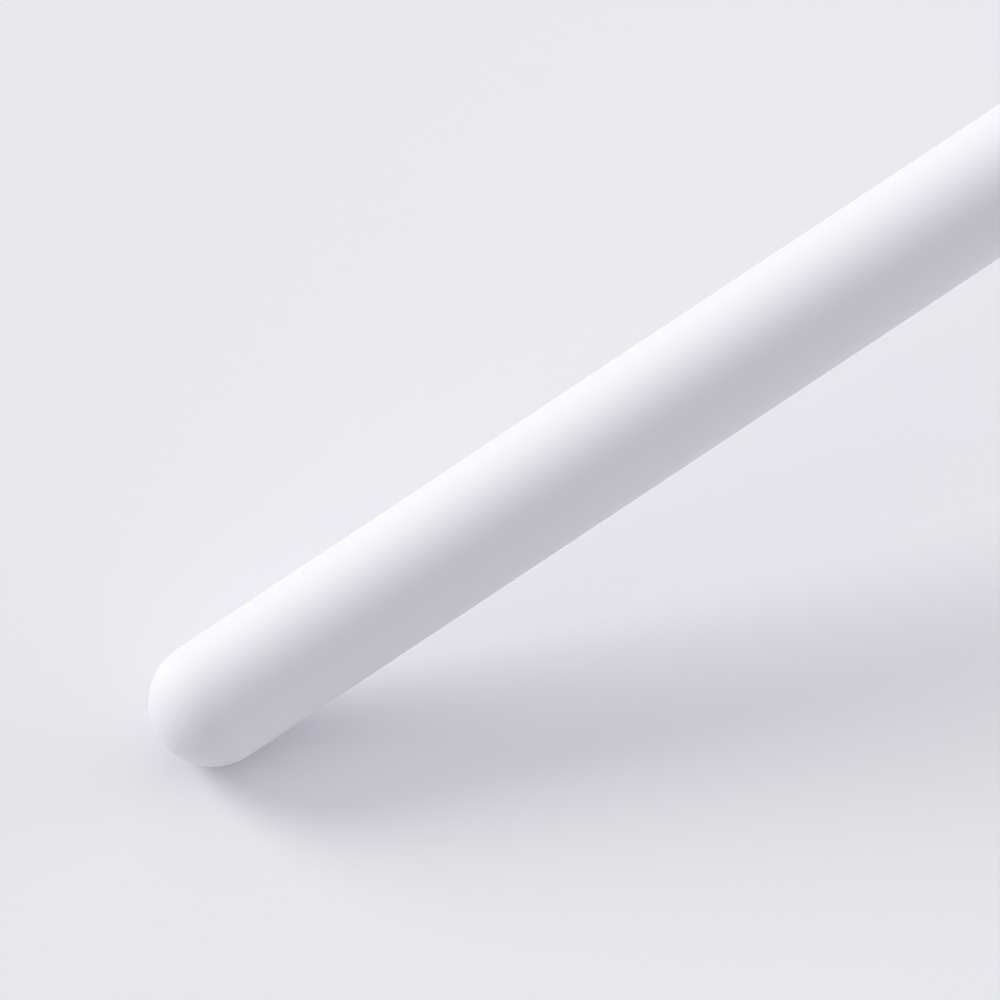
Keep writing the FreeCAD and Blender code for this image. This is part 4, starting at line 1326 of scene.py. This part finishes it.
class STYLUS_OT_board(bpy.types.Operator):
    """Builds the main board with its test pads, its sockets and the screws that hold it"""

    bl_idname = "stylus.board"
    bl_label = "Board"
    bl_options = {"REGISTER", "UNDO"}

    def execute(self, context):
        board = context.scene.stylus_board
        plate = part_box("main_board")
        blocks("board_plate", [plate], board.edge, CASING, "board_laminate", "main_board")
        self.pads(board, plate[1].z)
        self.sockets(board)
        self.screws(board, plate[1].z)
        return {"FINISHED"}

    @staticmethod
    def pads(board, top):
        """Rows of gold test pads along the front end of the board."""
        size, half, rise = board.pad_size, board.pad_size / 2, board.edge / 2
        pad = block_mesh((-half, -half, -rise), (half, half, rise), board.edge / 3)
        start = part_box("touch_chip")[1].x + PAD_ROW_SETBACK * size
        places = [((start + 2 * size * column, side * size * PAD_ROW_PITCH * row, top), 0.0)
                  for column in range(PAD_COLUMNS) for row in (1, 2) for side in (-1, 1)]
        copied("test_pads", pad, places, CASING, "brass")

    @staticmethod
    def sockets(board):
        """The moulded sockets of the flat cables, with their contacts."""
        boxes, contacts = boxes_of("cable_sockets"), []
        for low, high in boxes:
            rows = int((high.y - low.y) / board.leg_pitch) - 1
            first = (low.y + high.y) / 2 - (rows - 1) * board.leg_pitch / 2
            for end, turn in ((low.x, math.pi), (high.x, 0.0)):
                contacts += [((end, first + board.leg_pitch * k, low.z), turn) for k in range(rows)]
        reach = board.leg_reach / 2
        blocks("socket_blocks", boxes, board.edge, CASING, "socket_plastic", "cable_sockets",
               draft=board.edge, inset=reach)
        copied("socket_contacts", leg_mesh(board, reach), contacts, CASING, "brass")

    @staticmethod
    def screws(board, seat):
        """The two small screws, with a cross slot in the head and a thread below."""
        boxes = boxes_of("chassis_screws")
        centres = [(low + high) / 2 for low, high in boxes]
        bottom, top = boxes[0][0].z, boxes[0][1].z
        head = max(round(high.x - low.x, SIZE_DIGITS) for low, high in boxes) / 2
        shank = board.screw_shank / 2
        steps = ((top, 0.0), (top, head), (seat, head), (seat, shank), (bottom, shank), (bottom, 0.0))
        outline = softened([(height - AXIS_HEIGHT, reach) for height, reach in steps], board.edge)
        body = grown("screw", lathe_tree, line_mesh(outline), "steel", Segments=SCREW_SEGMENTS,
                     Axis_Height=0.0)
        body.transform(upright((0.0, 0.0, AXIS_HEIGHT)))
        slotted = grown("screw", slotted_tree, body, "steel", Top=(0.0, 0.0, top),
                        Slot_Width=board.slot_width, Slot_Length=head * SLOT_REACH,
                        Slot_Depth=board.slot_depth)
        places = [((centre.x, centre.y, 0.0), SCREW_TURN * k) for k, centre in enumerate(centres)]
        copied("cross_screws", slotted, places, CASING, "steel", "chassis_screws")
        extent = seat - bottom - 3 * board.edge
        ridge = board.screw_pitch * RIDGE_SHARE
        radius = shank - ridge / 2
        for name, centre in zip(("rear_screw_thread", "front_screw_thread"), centres):
            wound(name, (0.0, 0.0, 0.0), extent, extent / board.screw_pitch, (radius, radius), ridge,
                  CASING, "steel", stand=upright((centre.x, centre.y, bottom + board.edge)),
                  Wire_Sides=4, Steps_per_Turn=24)


def leg_mesh(board, reach):
    """A gull-wing leg that stands out along +X from the side of its package and down to the board."""
    foot = board.leg_thickness / 2
    path = [(-reach * out, board.leg_lift * height) for out, height in LEG_BENDS]
    path += [(-reach * out, foot * height) for out, height in FOOT_BENDS]
    return bent_strip_mesh(path, board.leg_width, board.leg_thickness)


class STYLUS_OT_components(bpy.types.Operator):
    """Builds the chips with their legs, the shield, the inductor and the capacitors"""

    bl_idname = "stylus.components"
    bl_label = "Board Components"
    bl_options = {"REGISTER", "UNDO"}

    def execute(self, context):
        board = context.scene.stylus_board
        for node in LEGGED_CHIPS:
            self.legged_chip(board, node)
        for node in FLAT_CHIPS:
            blocks(node + "_package", [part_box(node)], board.edge, CASING, "chip_resin", node,
                   draft=board.edge)
        self.shield(board)
        self.inductor(board)
        self.capacitors(board)
        return {"FINISHED"}

    @staticmethod
    def legged_chip(board, node):
        """A resin package with a row of legs along each of its four sides."""
        low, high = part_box(node)
        shift = Vector((board.leg_reach, board.leg_reach, 0.0))
        rise = Vector((0.0, 0.0, board.leg_thickness))
        blocks(node + "_package", [(low + shift + rise, high - shift)], board.edge, CASING,
               "chip_resin", node, draft=board.edge)
        centre, half = (low + high) / 2, (high - low) / 2
        places = []
        for turn, reach, run in ((0, half.x, half.y), (90, half.y, half.x),
                                 (180, half.x, half.y), (270, half.y, half.x)):
            number = int((2 * run - 2 * board.leg_reach - board.leg_pitch) / board.leg_pitch)
            first = -(number - 1) / 2 * board.leg_pitch
            spin = Matrix.Rotation(math.radians(turn), 2)
            for k in range(number):
                side = spin @ Vector((reach, first + k * board.leg_pitch))
                places.append(((centre.x + side.x, centre.y + side.y, low.z), math.radians(turn)))
        copied(node + "_legs", leg_mesh(board, board.leg_reach), places, CASING, "nickel")

    @staticmethod
    def shield(board):
        """The pressed shield over the radio chip, open below."""
        low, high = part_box("radio_shield")
        outer = block_mesh(low, high, board.edge * 2)
        work = bmesh.new()
        work.from_mesh(outer)
        bpy.data.meshes.remove(outer)
        under = [face for face in work.faces if face.normal.z < FACES_DOWN and
                 abs(face.calc_center_median().z - low.z) < board.edge / 2]
        bmesh.ops.delete(work, geom=under, context="FACES")
        shell = mesh_of(work, "shield_skin")
        skin = show("shield_skin", shell)
        thicken = skin.modifiers.new("Wall", "SOLIDIFY")
        thicken.thickness = board.shield_wall
        thicken.offset = -1.0
        mesh = with_modifiers(skin)
        bpy.data.objects.remove(skin)
        bpy.data.meshes.remove(shell)
        add_piece("shield_can", tidy_mesh(mesh, recalculate=False), CASING, "nickel", "radio_shield")

    @staticmethod
    def inductor(board):
        """The pressed ferrite block of the inductor on its two metal ends."""
        low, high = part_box("power_inductor")
        lift = Vector((0.0, 0.0, board.leg_thickness))
        blocks("inductor_block", [(low + lift, high)], board.edge * 2, CASING, "ferrite",
               "power_inductor")
        width, top = (high.x - low.x) * INDUCTOR_END, low.z + 2 * board.leg_thickness
        ends = [(low, Vector((low.x + width, high.y, top))),
                (Vector((high.x - width, low.y, low.z)), Vector((high.x, high.y, top)))]
        blocks("inductor_ends", ends, board.leg_thickness / 3, CASING, "nickel")

    @staticmethod
    def capacitors(board):
        """The ceramic capacitors, each with a metal cap at both its ends."""
        bodies, caps = [], []
        for low, high in boxes_of("capacitors"):
            size = high - low
            axis = X if size.x >= size.y else Y
            cap = size[axis] * board.end_cap
            slim = Vector((CAP_STEP, CAP_STEP, CAP_STEP))
            slim[axis] = cap / 2
            bodies.append((low + slim, high - slim))
            first_end, second_start = high.copy(), low.copy()
            first_end[axis] = low[axis] + cap
            second_start[axis] = high[axis] - cap
            caps += [(low, first_end), (second_start, high)]
        blocks("capacitor_bodies", bodies, board.edge / 2, CASING, "capacitor_ceramic", "capacitors")
        blocks("capacitor_ends", caps, board.edge / 2, CASING, "nickel")


class STYLUS_OT_charging(bpy.types.Operator):
    """Builds the charging coil round its core, and the magnets beside it"""

    bl_idname = "stylus.charging"
    bl_label = "Charging Coil and Magnets"
    bl_options = {"REGISTER", "UNDO"}

    def execute(self, context):
        board = context.scene.stylus_board
        low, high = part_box("charging_coil")
        wire = board.coil_wire / 2
        extent = high.x - low.x - 2 * wire
        half = ((high.y - low.y) / 2 - wire, (high.z - low.z) / 2 - wire)
        start = (low.x + wire, 0.0, (low.z + high.z) / 2)
        wound("coil_winding", start, extent, extent / board.coil_wire, half, wire,
              CASING, "copper_wire", "charging_coil",
              Squareness=COIL_SQUARENESS, Wire_Sides=6, Steps_per_Turn=28)
        for node in ("rear_magnets", "front_magnets"):
            blocks(node + "_plated", boxes_of(node), board.edge * 2, CASING, "nickel", node)
        return {"FINISHED"}


class STYLUS_OT_plain_pieces(bpy.types.Operator):
    """Gives each piece that keeps its plain shape its own finish"""

    bl_idname = "stylus.plain_pieces"
    bl_label = "Finishes of Plain Pieces"
    bl_options = {"REGISTER", "UNDO"}

    def execute(self, context):
        for name, finish in PLAIN_PIECES.items():
            for slot in frame["nodes"][name].material_slots:
                slot.material = in_slot(finish)
        return {"FINISHED"}


# ---------------------------------------------------------------------------------------------
# The stage.
# ---------------------------------------------------------------------------------------------

def floor_material(colour_value):
    """The pale matt top that the pen leans on, with a few faint specks."""
    material, wires, shader = new_material("pale_floor", specular=0.0)
    tone = effect(wires, tone_drift_tree, Colour=opaque(colour_value), Drift=0.008, Scale=40.0)[0]
    dusty = effect(wires, specks_tree, Colour=tone, Speck_Colour=opaque((0.5, 0.49, 0.5)),
                   Spacing=4.0 * MM, Speck_Size=0.12 * MM, Share=0.05)[0]
    wires.feed(shader.inputs["Base Color"], dusty)
    shader.inputs["Roughness"].default_value = FLOOR_ROUGHNESS
    return material


def stage_world(stage, fill_from):
    """Soft light from all round and most from one side, behind a backdrop like the far floor."""
    world = bpy.data.worlds.new("soft_room")
    world.use_nodes = True
    world.node_tree.nodes.clear()
    wires = Wiring(world.node_tree)
    towards = wires.add("ShaderNodeTexCoord").outputs["Generated"]
    facing = wires.add("ShaderNodeVectorMath", {0: towards, 1: fill_from}, operation="DOT_PRODUCT")
    front = wires.maths("MAXIMUM", facing.outputs["Value"], 0.0)
    fill = wires.maths("MULTIPLY", wires.maths("POWER", front, FILL_FALLOFF), stage.fill_level)
    light = wires.add("ShaderNodeBackground", {
        "Color": opaque(stage.sky_colour), "Strength": wires.maths("ADD", fill, stage.sky_level)})
    seen = wires.add("ShaderNodeBackground", {"Color": opaque(stage.backdrop)})
    path = wires.add("ShaderNodeLightPath").outputs["Is Camera Ray"]
    mixed = wires.add("ShaderNodeMixShader", {0: path, 1: light.outputs[0], 2: seen.outputs[0]})
    wires.add("ShaderNodeOutputWorld", {0: mixed.outputs[0]})
    bpy.context.scene.world = world


def direction(bearing, height):
    """The direction of a bearing and an elevation over the floor."""
    return Vector((math.cos(bearing) * math.cos(height), math.sin(bearing) * math.cos(height),
                   math.sin(height)))


def set_far_light(name, towards, spread, power, tint):
    """A broad light, so far off that it is as strong everywhere."""
    light = bpy.data.lights.new(name, "SUN")
    light.energy = power
    light.color = tint
    light.angle = spread
    lamp = bpy.data.objects.new(name, light)
    bpy.context.scene.collection.objects.link(lamp)
    lamp.rotation_mode = "QUATERNION"
    lamp.rotation_quaternion = towards.to_track_quat("Z", "Y")


class STYLUS_OT_stage(bpy.types.Operator):
    """Builds the floor that the pen leans on, the lights and the camera"""

    bl_idname = "stylus.stage"
    bl_label = "Stage"
    bl_options = {"REGISTER", "UNDO"}

    def execute(self, context):
        stage = context.scene.stylus_stage
        context.scene.view_settings.view_transform = "Standard"
        tail, _, radius = reach_of("barrel")
        touch = Vector((tail + radius, 0.0, AXIS_HEIGHT))
        turn = self.floor_to_pen(stage)
        self.lay_floor(stage, turn, touch - turn @ Vector((0.0, 0.0, radius)))
        set_far_light("key_light", turn @ direction(stage.key_bearing, stage.key_height),
                      stage.key_spread, stage.key_power, stage.key_colour)
        set_far_light("tail_light", turn @ direction(stage.tail_bearing, stage.tail_height),
                      stage.tail_spread, stage.tail_power, stage.sky_colour)
        set_far_light("card_light", turn @ direction(stage.card_bearing, stage.card_height),
                      stage.card_spread, stage.card_power, stage.sky_colour)
        self.set_camera(stage, turn, touch)
        stage_world(stage, turn @ direction(stage.fill_bearing, stage.fill_height))
        return {"FINISHED"}

    @staticmethod
    def floor_to_pen(stage):
        """Turns a direction on the floor, with Y away from the camera, into the pen's frame."""
        along = direction(stage.heading, stage.lean)
        across = direction(stage.heading + math.pi / 2, 0.0)
        return Matrix((along, across, along.cross(across)))

    @staticmethod
    def lay_floor(stage, turn, point):
        """A wide flat floor through this point."""
        work = bmesh.new()
        bmesh.ops.create_grid(work, x_segments=FLOOR_PARTS, y_segments=FLOOR_PARTS, size=FLOOR_HALF)
        bmesh.ops.transform(work, matrix=Matrix.Translation(point) @ turn.to_4x4(), verts=work.verts)
        mesh = mesh_of(work, "floor")
        mesh.materials.append(floor_material(tuple(stage.floor_colour)))
        show("floor", mesh)

    @staticmethod
    def set_camera(stage, turn, tail):
        """The camera, which sees the tail at its set place in the picture."""
        height = stage.camera_height
        right = Vector((1.0, 0.0, 0.0))
        up = Vector((0.0, math.sin(height), math.cos(height)))
        back = Vector((0.0, -math.cos(height), math.sin(height)))
        camera = bpy.data.cameras.new("camera")
        camera.lens = stage.lens
        camera.clip_start, camera.clip_end = CLIP_RANGE
        width = camera.sensor_width / camera.lens * stage.camera_distance
        offset = stage.camera_distance * back - width * (stage.tail_right * right + stage.tail_up * up)
        viewer = bpy.data.objects.new("camera", camera)
        bpy.context.scene.collection.objects.link(viewer)
        axes = Matrix((turn @ right, turn @ up, turn @ back)).transposed()
        viewer.matrix_world = Matrix.Translation(tail + turn @ offset) @ axes.to_4x4()
        bpy.context.scene.camera = viewer


# ---------------------------------------------------------------------------------------------
# The panel, and what runs when the file is run.
# ---------------------------------------------------------------------------------------------

SETTINGS = {
    "stylus_casing": StylusCasing,
    "stylus_nib": StylusNib,
    "stylus_sensor": StylusSensor,
    "stylus_battery": StylusBattery,
    "stylus_board": StylusBoard,
    "stylus_stage": StylusStage,
}
OPERATORS = (
    STYLUS_OT_barrel,
    STYLUS_OT_nose,
    STYLUS_OT_nose_fittings,
    STYLUS_OT_nib,
    STYLUS_OT_stud,
    STYLUS_OT_sensor,
    STYLUS_OT_battery,
    STYLUS_OT_board,
    STYLUS_OT_components,
    STYLUS_OT_charging,
    STYLUS_OT_plain_pieces,
    STYLUS_OT_stage,
)


class STYLUS_PT_panel(bpy.types.Panel):
    """Lists the pieces of the stylus and their settings"""

    bl_idname = "STYLUS_PT_panel"
    bl_label = "Drawing Stylus"
    bl_space_type = "VIEW_3D"
    bl_region_type = "UI"
    bl_category = "Stylus"

    def draw(self, context):
        for operator in OPERATORS:
            self.layout.operator(operator.bl_idname)
        for name in SETTINGS:
            group = getattr(context.scene, name)
            box = self.layout.box()
            for key in group.bl_rna.properties.keys():
                if key not in ("rna_type", "name"):
                    box.prop(group, key)


CLASSES = (*SETTINGS.values(), *OPERATORS, STYLUS_PT_panel)


def register():
    """Makes the settings, the operators and the panel known."""
    for item in CLASSES:
        bpy.utils.register_class(item)
    for name, group in SETTINGS.items():
        setattr(bpy.types.Scene, name, PointerProperty(type=group))


def unregister():
    """Takes them away again."""
    for name in SETTINGS:
        delattr(bpy.types.Scene, name)
    for item in reversed(CLASSES):
        bpy.utils.unregister_class(item)


def main():
    """Builds every piece in order, then the stage."""
    register()
    for operator in OPERATORS:
        group, name = operator.bl_idname.split(".")
        getattr(getattr(bpy.ops, group), name)()


if __name__ == "__main__":
    main()
